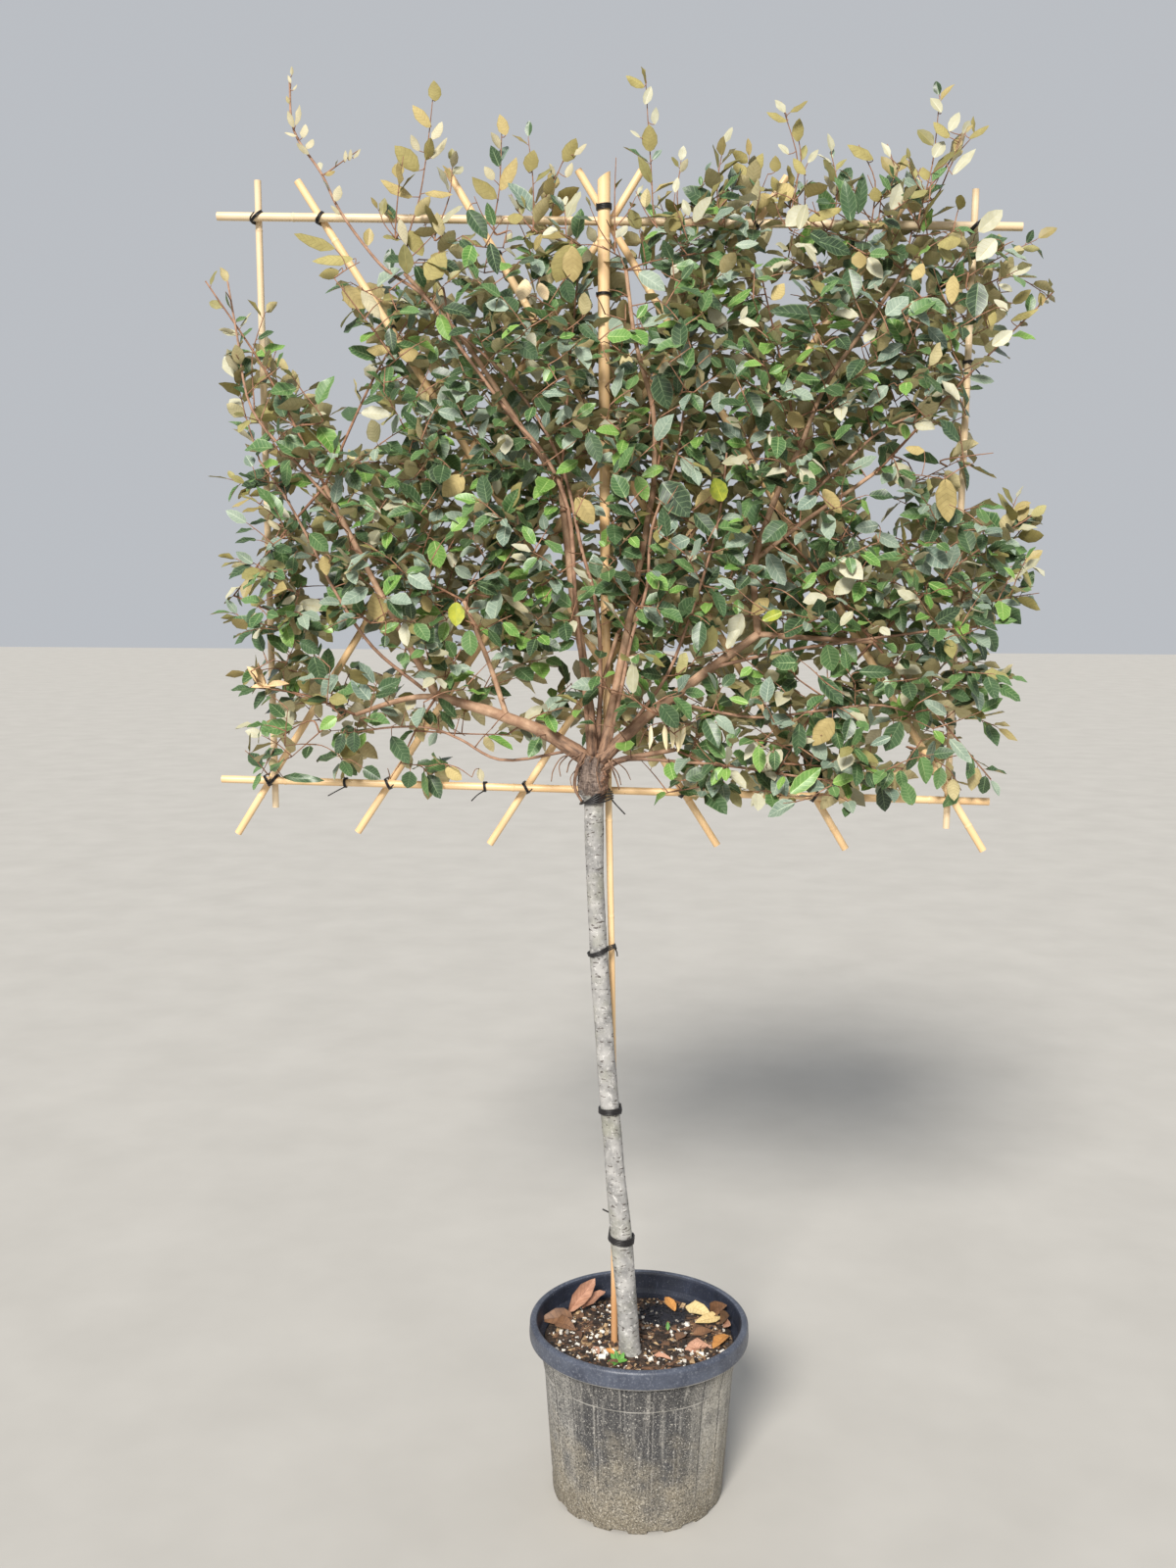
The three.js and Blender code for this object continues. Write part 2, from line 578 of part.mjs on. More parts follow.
// Grows one mass: a stem from the bough's tip, twigs from the nearest wood towards evenly spread
// places in the cell, and leaves in turn round each twig. What would leave the cell, touch a limb
// or cross the rest of the mass is skipped.
function foliage(seed, cell, tip, reach, shoots, twigCount, limbs) {
  const random = randomFrom(seed);
  const spread = (share) => (random() - 0.5) * 2 * share;
  const nearby = limbs.intersect(boxSolid(cell));
  const pieces = [];
  const wood = [];

  // The solid of a geometry, if it has room beside everything but the wood that carries it.
  const fitting = (solid, carrier) => {
    const bounds = boundsOf(solid);
    if (!cell.containsBox(bounds) || !solid.intersect(nearby).isEmpty()) return false;
    return pieces.every((piece) => {
      if (piece.solid === carrier || !piece.bounds.intersectsBox(bounds)) return true;
      return piece.solid.intersect(solid).isEmpty();
    });
  };
  const keep = (solid) => pieces.push({ solid, bounds: boundsOf(solid) });
  const branchPoints = (carrier, rings, count) => {
    for (let i = 1; i <= count; i += 1) wood.push({ at: onLimb(rings, i / count).at, carrier });
  };

  // Leaves stand on the wood's flat sides in turn, the last one at its tip.
  const leaves = (carrier, sides, rings, rootShare) => {
    const length = rings[0].at.distanceTo(rings.at(-1).at) * (1 - rootShare);
    const count = Math.max(2, Math.round(length / LEAF_SPACING));
    for (let i = 0; i <= count; i += 1) {
      const { at, along, across, round } = onLimb(rings, rootShare + ((LAST_LEAF - rootShare) * i) / count);
      for (let attempt = 0; attempt < LEAF_TRIES; attempt += 1) {
        const turn = (Math.PI * (2 * (i + attempt) + 1)) / sides;
        const side = across.clone().multiplyScalar(Math.sin(turn)).addScaledVector(round, Math.cos(turn));
        const last = i === count;
        const spreadAngle = last
          ? LAST_LEAF_ANGLE + spread(LAST_LEAF_SPREAD)
          : LEAF_ANGLE + spread(LEAF_ANGLE_SPREAD);
        const angle = THREE.MathUtils.degToRad(spreadAngle);
        const direction = along.clone().multiplyScalar(Math.cos(angle));
        direction.addScaledVector(side, Math.sin(angle));
        const outward = at.y > CROWN_MIDDLE_Y ? 1 : -1;
        const facing = vec(spread(0.6), outward * (0.9 + spread(0.5)), 0.55 + spread(0.4));
        const root = at.clone().addScaledVector(direction, -LEAF_SINK);
        const leafLength = LEAF_LENGTH * (1 + spread(LEAF_LENGTH_SPREAD));
        const solid = solidOf(leaf(root, direction, facing, leafLength));
        if (fitting(solid, carrier)) {
          keep(solid);
          break;
        }
      }
    }
  };

  const end = vec(reach[0], tip.y - STEM_DRIFT * random(), reach[1]);
  const middle = cell.clampPoint(tip.clone().lerp(end, 0.5), vec(0, 0, 0));
  middle.addScaledVector(UP, STEM_BOW * tip.distanceTo(end) * random());
  const stemRings = ringsOf(tapering([tip, middle, end], STEM_DIAMETER, STEM_TIP_DIAMETER), STEM_STEPS);
  const stem = wholeBody(bent(stemRings, STEM_SIDES).subtract(limbs).intersect(boxSolid(cell)));
  keep(stem);
  branchPoints(stem, stemRings, STEM_FORKS);
  leaves(stem, STEM_SIDES, stemRings, STEM_BARE);

  const targets = shoots.map(([x, height]) => vec(x, tip.y + spread(SHOOT_SPREAD), height));
  for (let i = 0; i < twigCount; i += 1) {
    const [x, y, z] = SPREAD_STEPS.map((step) => (seed * SPREAD_OFFSET + step * (i + 1)) % 1);
    targets.push(
      vec(
        THREE.MathUtils.lerp(cell.min.x + SIDE_MARGIN, cell.max.x - SIDE_MARGIN, x),
        THREE.MathUtils.lerp(cell.min.y + DEPTH_MARGIN, cell.max.y - DEPTH_MARGIN, y),
        THREE.MathUtils.lerp(cell.min.z + SIDE_MARGIN, cell.max.z - SIDE_MARGIN, z),
      ),
    );
  }
  targets.sort((one, other) => one.distanceTo(tip) - other.distanceTo(tip));

  for (const target of targets) {
    for (let attempt = 0; attempt < TWIG_TRIES; attempt += 1) {
      const jitter = TWIG_JITTER * attempt;
      const goal = target.clone().add(vec(spread(jitter), spread(2 * jitter), spread(jitter)));
      const start = wood.reduce((best, other) =>
        other.at.distanceTo(goal) < best.at.distanceTo(goal) ? other : best,
      );
      const length = start.at.distanceTo(goal);
      if (length < TWIG_SHORTEST) continue;
      const bend = start.at.clone().lerp(goal, 0.5);
      bend.addScaledVector(UP, TWIG_LIFT * length * (0.5 + random()));
      const rings = ringsOf(tapering([start.at, bend, goal], TWIG_DIAMETER, TWIG_TIP_DIAMETER), 1);
      const twig = bent(rings, TWIG_SIDES);
      if (!fitting(twig, start.carrier)) continue;
      keep(twig);
      branchPoints(twig, rings, TWIG_FORKS);
      leaves(twig, TWIG_SIDES, rings, TWIG_BARE);
      break;
    }
  }
  return wholeBody(wasm.Manifold.union(pieces.map((piece) => piece.solid)));
}

function boundsOf(solid) {
  const { min, max } = solid.boundingBox();
  return new THREE.Box3(vec(...min), vec(...max));
}

function boxSolid(box) {
  const size = box.getSize(vec(0, 0, 0));
  const geometry = new THREE.BoxGeometry(size.x, size.y, size.z);
  const centre = box.getCenter(vec(0, 0, 0));
  geometry.translate(centre.x, centre.y, centre.z);
  return solidOf(geometry);
}

pot();
soil();

// Canes and trunk, with a thicker copy of each to trim and test the rest against
const thick = [];
for (const stock of STOCK_CANES) {
  place(stock.name, geometryOf(limb(caneStations(stock), CANE_SIDES, 1)), "cane");
  thick.push(limb(caneStations(stock), CANE_SIDES, 1, CLEARANCE));
}
place("cane_centre", geometryOf(centreCane()), "cane");
thick.push(centreCane(CLEARANCE));
place("trunk", geometryOf(trunk()), "bark");

// Boughs, each trimmed to the limbs that were there before it
let limbs = trunk(GAP);
for (const [name, rootDiameter, tipDiameter, points] of BOUGHS) {
  const stations = tapering(points, rootDiameter, tipDiameter);
  const bough = wholeBody(limb(stations, BOUGH_SIDES, 1).subtract(limbs));
  place(name, geometryOf(bough), "bough");
  limbs = limbs.add(limb(stations, BOUGH_SIDES, 1, GAP));
}

// Ties
for (const [name, height] of TRUNK_TIES) {
  const sections = [trunkStations(), centreCaneStations()].map((stations) => ({
    ...pointAtHeight(stations, height),
    along: UP,
  }));
  const body = tie(sections, UP, TRUNK_TIE_SLACK);
  place(name, geometryOf(body), "wire");
  thick.push(body);
}
for (const [name, bar, crossing, near] of LATTICE_TIES) {
  const sections = [caneSection(bar, near), caneSection(crossing, near)];
  const [one, other] = sections.map((section) => section.along);
  const normal = one.clone().addScaledVector(other, Math.sign(one.dot(other))).normalize();
  const body = tie(sections, normal, LATTICE_TIE_SLACK);
  place(name, geometryOf(body), "wire");
  thick.push(body);
}

// Foliage
const obstacles = wasm.Manifold.union([limbs, ...thick]);
MASSES.forEach(([name, row, column, tip, reach, shoots, twigCount], index) => {
  const mass = foliage(CROWN_SEED + index, cellOf(row, column), tip, reach, shoots, twigCount, obstacles);
  place(name, geometryOf(mass), "foliage");
});

export default part;
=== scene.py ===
"""Potted espalier elaeagnus: its looks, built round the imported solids. Metres, +Z up.

The sizes below are in millimetres, as in the part's source, and are brought to metres by MM.
"""

import math

import bmesh
import bpy
import numpy as np
from mathutils import Matrix, Vector, noise


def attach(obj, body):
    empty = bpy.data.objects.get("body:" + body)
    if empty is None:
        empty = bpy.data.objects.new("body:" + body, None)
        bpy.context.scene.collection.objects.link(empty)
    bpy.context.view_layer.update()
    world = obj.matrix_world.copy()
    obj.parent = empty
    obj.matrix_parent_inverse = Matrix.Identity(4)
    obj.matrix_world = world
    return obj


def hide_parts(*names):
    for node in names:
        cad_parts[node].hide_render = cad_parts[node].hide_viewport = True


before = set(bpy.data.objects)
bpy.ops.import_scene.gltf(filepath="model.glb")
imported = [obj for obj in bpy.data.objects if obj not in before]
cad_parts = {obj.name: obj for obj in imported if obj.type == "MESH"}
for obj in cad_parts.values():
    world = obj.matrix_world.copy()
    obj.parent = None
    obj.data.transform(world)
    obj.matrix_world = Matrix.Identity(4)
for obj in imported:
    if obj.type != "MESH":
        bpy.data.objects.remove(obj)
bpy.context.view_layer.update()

MM = 0.001
BACK = np.array([0.0, 1.0, 0.0])
UP = np.array([0.0, 0.0, 1.0])

# Camera: its place, its focal length for a sensor as long as the picture's longer side, and its turns
CAMERA_PLACE = (0.034, -2.963, 1.865)
SENSOR = 36.0
FOCAL_LENGTH = 34.875
CAMERA_DOWN = math.radians(7.5)
CAMERA_LEFT = math.radians(2.78)
CAMERA_ROLL = math.radians(0.26)

# Pot
POT_HEIGHT = 368
FOOT_RADIUS = 176
NECK_RADIUS = 199
RIM_RADIUS = 226
RIM_DEPTH = 39
NECK_HEIGHT = POT_HEIGHT - RIM_DEPTH
RIM_CREST_RADIUS = 8
RIM_LEAN = 1.5
POT_WALL = 4
POT_FLOOR = 12
POT_TURNS = 360
BAND_DEPTH = 60
COLLAR_FLARE = 7
PANEL_COUNT = 22
PANEL_RELIEF = 3.0
PANEL_FOOT = 30
NOTCH_COUNT = 15
NOTCH_WIDTH = 33
NOTCH_HEIGHT = 8
NOTCH_DEPTH = 11
NOTCH_START = math.radians(-77)
POT_CREASE = 40

# Pot profile: the radius and height of the underside's points, and of the rim's points on from the
# neck's outer edge, measured from the rim's radius and the neck's height
FOOT_PROFILE = [(0, 1.2), (60, 1.2), (150, 1.2), (158, 0)]
FOOT_PROFILE += [(FOOT_RADIUS - 4, 0), (FOOT_RADIUS - 1, 1), (FOOT_RADIUS, 4)]
RIM_PROFILE = [(-7, -1), (-3.4, 0.4), (-1.6, 2.5), (-1, 6), (-0.6, 13)]

# Soil
SOIL_LEVEL = 330
SOIL_EDGE_DROP = 7
SOIL_EDGE_WIDTH = 45
SOIL_FLAT_RADIUS = 150
SOIL_BACK_DROP = 9
SOIL_BACK_REACH = 160
SOIL_WALL_GAP = 0.6
SOIL_RELIEF = 5.5
SOIL_LUMP_PACE = 28
SOIL_SIDES = 150
SOIL_ROWS = 64

# Strewn chips, by piece: the shades, each with a pale and a dark colour and the roughness, how fine and
# how bumpy their pattern is, and the strewings. Those are how many chips fall, their length, their width
# and thickness as shares of it, the share of each shade and where they lie.
CHIP_SEED = 5
CHIPS = {
    "soil_chips": (
        [
            ("chip_dark", (60, 47, 39), (34, 27, 24), 0.9),
            ("chip_brown", (124, 92, 68), (78, 57, 44), 0.85),
            ("chip_pale", (190, 162, 124), (138, 108, 78), 0.85),
        ],
        90.0,
        0.5,
        [(1700, 14, (0.42, 0.16), (0.46, 0.34, 0.2), "off_gravel")],
    ),
    "soil_grit": (
        [
            ("grit_white", (240, 236, 228), (212, 206, 194), 0.9),
            ("grit_grey", (160, 154, 146), (130, 124, 118), 0.9),
            ("grit_black", (40, 40, 46), (26, 26, 30), 0.6),
        ],
        200.0,
        0.4,
        [
            (420, 4.4, (0.8, 0.7), (0.75, 0.25, 0), "off_gravel"),
            (130, 8.5, (0.8, 0.7), (0.9, 0.1, 0), "clumps"),
            (2520, 5.2, (0.8, 0.7), (0, 0.03, 0.97), "on_gravel"),
        ],
    ),
}
STREWN_RADIUS = 190

# No chips lie on the bare place under the trunk. Few stray on to the gravel or off it, and most of the
# clumps lie left of the first edge or in front of the second.
BARE_PLACE = (-17, -76)
BARE_RADIUS = 26
STRAY_SHARE = 0.04
CLUMP_EDGES = (-70, -60)
CLUMP_STRAY_SHARE = 0.25
GRAVEL_PLACE = (48, 98)
GRAVEL_RADIUS = 58

# Fallen leaves on the soil, by kind: the place of the stalk, the direction, the facing, the length, the
# width share, the fold and the droop
LITTER = {
    "pink": [
        ((-150, 82, 332), (0.5, 0.66, 0.42), (0.2, -0.8, 0.6), 92, 0.36, 0.9, -0.15),
        ((-122, 96, 334), (0.62, 0.6, 0.3), (-0.3, -0.6, 0.8), 70, 0.4, 0.8, 0.1),
        ((141, -38, 333), (-0.72, -0.6, 0.08), (0.1, -0.3, 1), 62, 0.5, 0.5, 0.15),
        ((104, -58, 333), (0.9, 0.1, 0.12), (0, -0.2, 1), 48, 0.46, 0.6, 0.2),
        ((178, 52, 333), (0.2, -0.9, 0.4), (-0.8, -0.2, 0.5), 42, 0.5, 0.4, 0.1),
        ((30, -92, 333), (0.85, -0.4, 0.2), (0, -0.3, 1), 40, 0.34, 0.7, 0.2),
        ((-90, -64, 333), (0.3, -0.8, 0.2), (0.2, -0.3, 1), 34, 0.4, 0.6, 0.2),
    ],
    "brown": [
        ((-140, 58, 332), (-0.86, -0.4, 0.3), (0.2, -0.6, 0.8), 64, 0.6, 0.5, 0.45),
        ((-172, 40, 332), (0.5, -0.75, 0.35), (-0.2, -0.6, 0.8), 50, 0.62, 0.6, 0.5),
        ((150, 108, 328), (0.35, -0.7, 0.6), (-0.6, -0.6, 0.4), 64, 0.5, 0.5, 0.2),
        ((170, 76, 328), (0.4, -0.75, 0.55), (-0.7, -0.5, 0.4), 58, 0.5, 0.5, -0.1),
        ((80, -30, 333), (0.4, 0.85, 0.25), (-0.3, -0.4, 0.9), 44, 0.56, 0.5, 0.4),
        ((112, -4, 333), (0.8, 0.4, 0.2), (0, -0.4, 0.9), 46, 0.5, 0.5, 0.3),
        ((-60, -128, 331), (0.8, 0.2, 0.15), (0, -0.4, 0.9), 36, 0.5, 0.5, 0.4),
        ((-118, -30, 333), (-0.3, 0.9, 0.2), (0.2, -0.3, 1), 36, 0.4, 0.7, 0.3),
    ],
    "orange": [
        ((76, 104, 330), (-0.4, 0.85, 0.3), (0.2, -0.7, 0.7), 52, 0.42, 0.4, 0.15),
        ((184, 0, 333), (-0.5, -0.8, 0.16), (-0.3, -0.4, 0.9), 62, 0.48, 0.4, 0.2),
        ((-72, -78, 333), (0.7, -0.5, 0.25), (0, -0.4, 0.9), 32, 0.4, 0.5, 0.2),
    ],
    "cream": [
        ((100, 132, 329), (0.62, -0.76, 0.2), (0.1, -0.7, 0.7), 76, 0.4, 0.4, 0.1),
        ((172, 84, 330), (-0.8, -0.58, 0.14), (0, -0.6, 0.8), 66, 0.36, 0.5, 0.1),
        ((-30, -84, 333), (-0.7, -0.6, 0.2), (0, -0.4, 0.9), 26, 0.3, 0.5, 0.1),
    ],
    "green": [
        ((-40, -118, 331), (-0.8, -0.3, 0.4), (0, -0.4, 0.9), 20, 0.5, 0.2, 0.3),
        ((-40, -118, 331), (0.8, -0.2, 0.5), (0, -0.4, 0.9), 20, 0.5, 0.2, 0.3),
        ((-38, -116, 331), (-0.3, 0.1, 0.9), (0, -0.9, 0.3), 22, 0.5, 0.2, 0.3),
        ((-36, -118, 331), (0.4, 0.3, 0.8), (0, -0.9, 0.3), 20, 0.5, 0.2, 0.3),
        ((-42, -120, 331), (-0.2, -0.8, 0.4), (0, -0.2, 1), 18, 0.6, 0.2, 0.3),
        ((-44, -114, 331), (-0.6, 0.4, 0.7), (0, -0.9, 0.4), 18, 0.5, 0.2, 0.3),
        ((60, 14, 333), (0, 0.4, 0.9), (0, -1, 0.3), 17, 0.5, 0.2, 0.2),
    ],
}
LITTER_SEED = 60
LITTER_WAVE = 0.05

# The upper and under side's pale and dark colour, and the midrib's
LITTER_SHADES = {
    "pink": ((196, 150, 124), (148, 106, 84), (118, 80, 62)),
    "brown": ((132, 96, 68), (72, 50, 40), (56, 38, 30)),
    "orange": ((210, 150, 80), (160, 102, 52), (126, 78, 42)),
    "cream": ((226, 206, 152), (194, 166, 108), (160, 130, 82)),
    "green": ((92, 150, 58), (50, 104, 36), (130, 180, 90)),
}

# Trunk: the centre line's X, its height and its diameter
TRUNK_Y = -76
WOOD_FOOT = SOIL_LEVEL + 0.3
TRUNK_STATIONS = [
    (-16, WOOD_FOOT, 46),
    (-18, 352, 42.5),
    (-24, 442, 41.6),
    (-35, 567, 43),
    (-47, 690, 39),
    (-56, 792, 38),
    (-73, 993, 36),
    (-85, 1171, 34.6),
    (-93, 1330, 34.5),
    (-94, 1440, 36.5),
    (-94, 1462, 44),
    (-95, 1476, 56),
    (-95, 1494, 62),
    (-94, 1512, 60),
    (-92, 1530, 50),
    (-89, 1542, 34),
    (-88, 1552, 14),
]
TRUNK_STEPS = 26
TRUNK_SIDES = 72
KNOB_FOOT = 1453
KNOB_RISE = 14
SCAR_HEIGHT = 1316
KNOB_TOP = 1550
KNOB_PLACE = (-90, -80, 1520)
KNOB_CREASE_TURN = 1.5 * math.pi + 0.4
KNOB_CREASE_WIDTH = 0.16

# How far the bark stands out, in metres: on the stem waves, rings and fine grain, and on the knob
# fibres, lobes and the depth of the crease
STEM_RELIEF = (0.0014, 0.0007, 0.0003)
KNOB_RELIEF = (0.0062, 0.003, 0.007)

# Rootlets on both sides of the knob, each with its diameter and its points
ROOTLET_SIDES = 8
ROOTLET_TAPER = 0.6
ROOTLETS = [
    (8, [(-112, -92, 1546), (-127, -98, 1512), (-130, -98, 1480), (-117, -98, 1454)]),
    (4, [(-118, -90, 1545), (-139, -94, 1530), (-146, -92, 1508)]),
    (3, [(-126, -88, 1542), (-154, -92, 1538), (-172, -90, 1512), (-176, -88, 1490)]),
    (3, [(-136, -84, 1548), (-160, -90, 1522), (-158, -90, 1500)]),
    (2.5, [(-112, -96, 1530), (-138, -104, 1500), (-134, -104, 1478)]),
    (4, [(-66, -100, 1534), (-54, -104, 1505), (-45, -102, 1478)]),
    (3, [(-62, -98, 1526), (-48, -102, 1508), (-42, -98, 1486)]),
    (2.5, [(-60, -94, 1536), (-34, -100, 1516), (-24, -96, 1496)]),
    (3, [(-84, -108, 1546), (-88, -114, 1510), (-80, -114, 1476)]),
]

# Canes: the draws that place their nodes, from the first and for the centre cane, and in metres how far
# apart these are at least and how much further at most. A node is a swelling and a groove above it.
CANE_SIDES = 20
CANE_CREASE = 50
CANE_SEED = 40
CENTRE_CANE_SEED = 95
CANE_NODE_PITCH = 0.19
CANE_NODE_SPREAD = 0.1
FIRST_NODE_GAP = 0.08
LAST_NODE_GAP = 0.03
CANE_NODE_STEPS = np.array([-0.009, -0.005, -0.003, -0.0012, 0, 0.0012, 0.003, 0.006])
NODE_SWELLING = 0.085
NODE_SWELLING_REACH = 0.0026
NODE_GROOVE = 0.05
NODE_GROOVE_OFFSET = 0.0045
NODE_GROOVE_REACH = 0.002
WARM_CANES = ("cane_rising", "cane_falling", "cane_centre", "cane_bar_bottom")

# Centre cane: how much lower its cut top is on the left, and X, Y, height and diameter
CENTRE_CANE_SLANT = 16
CENTRE_CANE_STATIONS = [
    (-49, -38, WOOD_FOOT, 13.5),
    (-52, -41, 720, 13),
    (-59.5, -44, 1139, 12.5),
    (-68.5, -36, 1463, 13.5),
    (-77, -30, 1858, 19),
    (-83, -30.2, 2400, 22.8),
    (-84, -30.4, 2622, 24),
]

# Boughs, each from root to tip, with its diameters there
LEFT_FORK = (-399, -60, 1650)
RIGHT_FORK = (214, -60, 1772)
LEFT_TIP = (-611, -52, 2048)
INNER_TIP = (-345, -62, 1832)
CENTRE_LEFT_TIP = (-160, -62, 2048)
CENTRE_TIP = (-52, -66, 1772)
CENTRE_RIGHT_TIP = (14, -60, 2048)
TOP_LEFT_TIP = (-454, -50, 2438)
TOP_CENTRE_TIP = (-41, -66, 2438)
RIGHT_TIP = (286, -54, 2118)
OUTER_TIP = (431, -56, 1759)
FAR_RIGHT_TIP = (431, -50, 2076)
TOP_RIGHT_TIP = (469, -50, 2438)
LEFT_FOOT_TIP = (-558, -56, 1612)
RIGHT_FOOT_TIP = (60, -70, 1552)
BOUGH_STEPS = 22
BOUGH_SIDES = 18
BOUGH_RELIEF = (0.16, 0.05)
ROOT_FLARE = 0.5
ROOT_FLARE_LENGTH = 90
BOUGHS = [
    ("left", 24, 18, [(-100, -78, 1528), (-184, -70, 1579), (-290, -64, 1619), LEFT_FORK]),
    ("left_foot", 12, 8, [LEFT_FORK, (-450, -56, 1646), (-508, -54, 1630), LEFT_FOOT_TIP]),
    ("left_rising", 15, 10, [LEFT_FORK, (-431, -56, 1706), (-513, -52, 1856), LEFT_TIP]),
    ("left_inner", 11, 8, [(-262, -66, 1608), (-292, -66, 1700), INNER_TIP]),
    ("centre_left", 17, 13, [(-97, -80, 1540), (-109, -70, 1671), (-136, -64, 1839), CENTRE_LEFT_TIP]),
    ("top_left", 11, 8, [CENTRE_LEFT_TIP, (-238, -58, 2160), (-340, -54, 2310), TOP_LEFT_TIP]),
    ("centre", 9, 7, [(-88, -70, 1545), (-82, -66, 1660), CENTRE_TIP]),
    ("centre_right", 16, 11, [(-78, -82, 1540), (-50, -76, 1690), (-20, -66, 1849), CENTRE_RIGHT_TIP]),
    ("top_centre", 10, 7, [CENTRE_RIGHT_TIP, (12, -62, 2180), (-22, -66, 2310), TOP_CENTRE_TIP]),
    ("right", 20, 16, [(-84, -84, 1530), (-8, -74, 1603), (100, -66, 1688), RIGHT_FORK]),
    ("right_rising", 14, 10, [RIGHT_FORK, (206, -58, 1900), (248, -56, 2040), RIGHT_TIP]),
    ("right_outer", 12, 9, [RIGHT_FORK, (302, -58, 1766), OUTER_TIP]),
    ("far_right", 9, 7, [(210, -58, 1915), (300, -54, 1985), (380, -50, 2040), FAR_RIGHT_TIP]),
    ("top_right", 9, 7, [RIGHT_TIP, (330, -52, 2230), (410, -50, 2350), TOP_RIGHT_TIP]),
    ("right_foot", 11, 8, [(-84, -90, 1512), (-49, -84, 1530), RIGHT_FOOT_TIP]),
]

# Ties round the trunk and the centre cane: the height, the way across the loops, the turns, the wire's
# thickness, how far the loops fan out, and the loose ends, each from a share of the winding
WIRE_SLACK = 0.4
WIRE_STEPS = 36
WIRE_SIDES = 8
WIRE_PITCH = 0.95
STEM_TIES = [
    ("trunk_low", 571, (0.12, 0, 1), 4.1, 3.6, 0.1, [(0.122, (6, 10, 12), (4, 9, 32), (-14, 2, 46))]),
    ("trunk_middle", 837, (0, 0, 1), 4.1, 3.2, 0.06, [(0, (1, -3, 8), (-1, 2, 20))]),
    ("trunk_high", 1156, (-0.3, 0, 1), 3.1, 3.0, 0.1, [(0.05, (4, -6, -6), (5, -8, -14))]),
    (
        "knob",
        1456,
        (-0.32, 0, 1),
        5.1,
        3.2,
        0.8,
        [(0.45, (-12, -14, -8), (-26, -14, -20)), (0.02, (10, -8, -10), (26, -12, -26))],
    ),
]

# Ties where two canes cross, and whether the part's source carries them
CANE_TIE_TURNS = 2.4
CANE_TIE_WIRE = 3.0
CANE_TIES = [
    ("top_left", "bar_top", "upright_left", True),
    ("top_inner", "bar_top", "falling_left", True),
    ("top_right", "bar_top", "upright_right", True),
    ("bottom_left", "bar_bottom", "upright_left", True),
    ("top_middle", "bar_top", "falling_middle", False),
    ("top_rising", "bar_top", "rising_middle", False),
    ("bottom_rising_left", "bar_bottom", "rising_left", False),
    ("bottom_rising_middle", "bar_bottom", "rising_middle", False),
    ("bottom_rising_right", "bar_bottom", "rising_right", False),
    ("bottom_falling", "bar_bottom", "falling_middle", False),
    ("bottom_right", "bar_bottom", "falling_left", False),
]
CANE_TAIL = (0, (4, -14, 4), (12, -18, 12))

# Rings of wire round one cane: the share of its length from its higher end, the turns and the loose
# end. Of the centre cane only its top stretch counts.
RING_WIRE = 2.8
RING_TIES = [
    ("ring_left", "falling_left", 0.215, 2.6, (0, (6, -8, 4), (14, -10, 2))),
    ("ring_middle", "falling_middle", 0.12, 2.6, (0, (8, -8, -10), (18, -10, -22))),
    ("ring_centre", "centre", 0.285, 4.4, (0, (5, -6, -10), (6, -3, -26))),
    ("ring_centre_low", "centre", 0.99, 2.6, (0, (8, -8, -4), (12, -10, -6))),
    ("ring_bottom", "bar_bottom", 0.348, 2.6, (0, (-10, -8, -6), (-22, -10, -18))),
    ("ring_bottom_left", "bar_bottom", 0.164, 2.6, (0, (-12, -8, -6), (-30, -10, -16))),
    ("ring_right", "upright_right", 0.26, 2.6, (0, (12, -8, -8), (30, -10, -26))),
    ("ring_low", "upright_left", 0.62, 2.6, (0, (6, -8, -8), (14, -10, -24))),
]

# Crown: cells in rows, as in the part's source, and how far leaves may cross from one to the next
CROWN_LOW = np.array([-834.0, -224.0, 1436.0])
CROWN_HIGH = np.array([747.0, 164.0, 2823.0])
CROWN_MIDDLE_X = -45
CROWN_HALF_WIDTH = 790
CROWN_MIDDLE_Y = -20
CROWN_FACE_Y = -60
CELL_SPILL = np.array([34.0, 12.0, 34.0])
CROWN_ROWS = [
    (1440, 1759, -205, 145, [-832, -558, -130, 190, 431, 744]),
    (1759, 2048, -225, 165, [-832, -611, -345, -95, 150, 431, 744]),
    (2048, 2438, -215, 155, [-836, -611, -345, -95, 150, 431, 748]),
    (2438, 2826, -165, 105, [-836, -454, -250, -41, 210, 469, 744]),
]

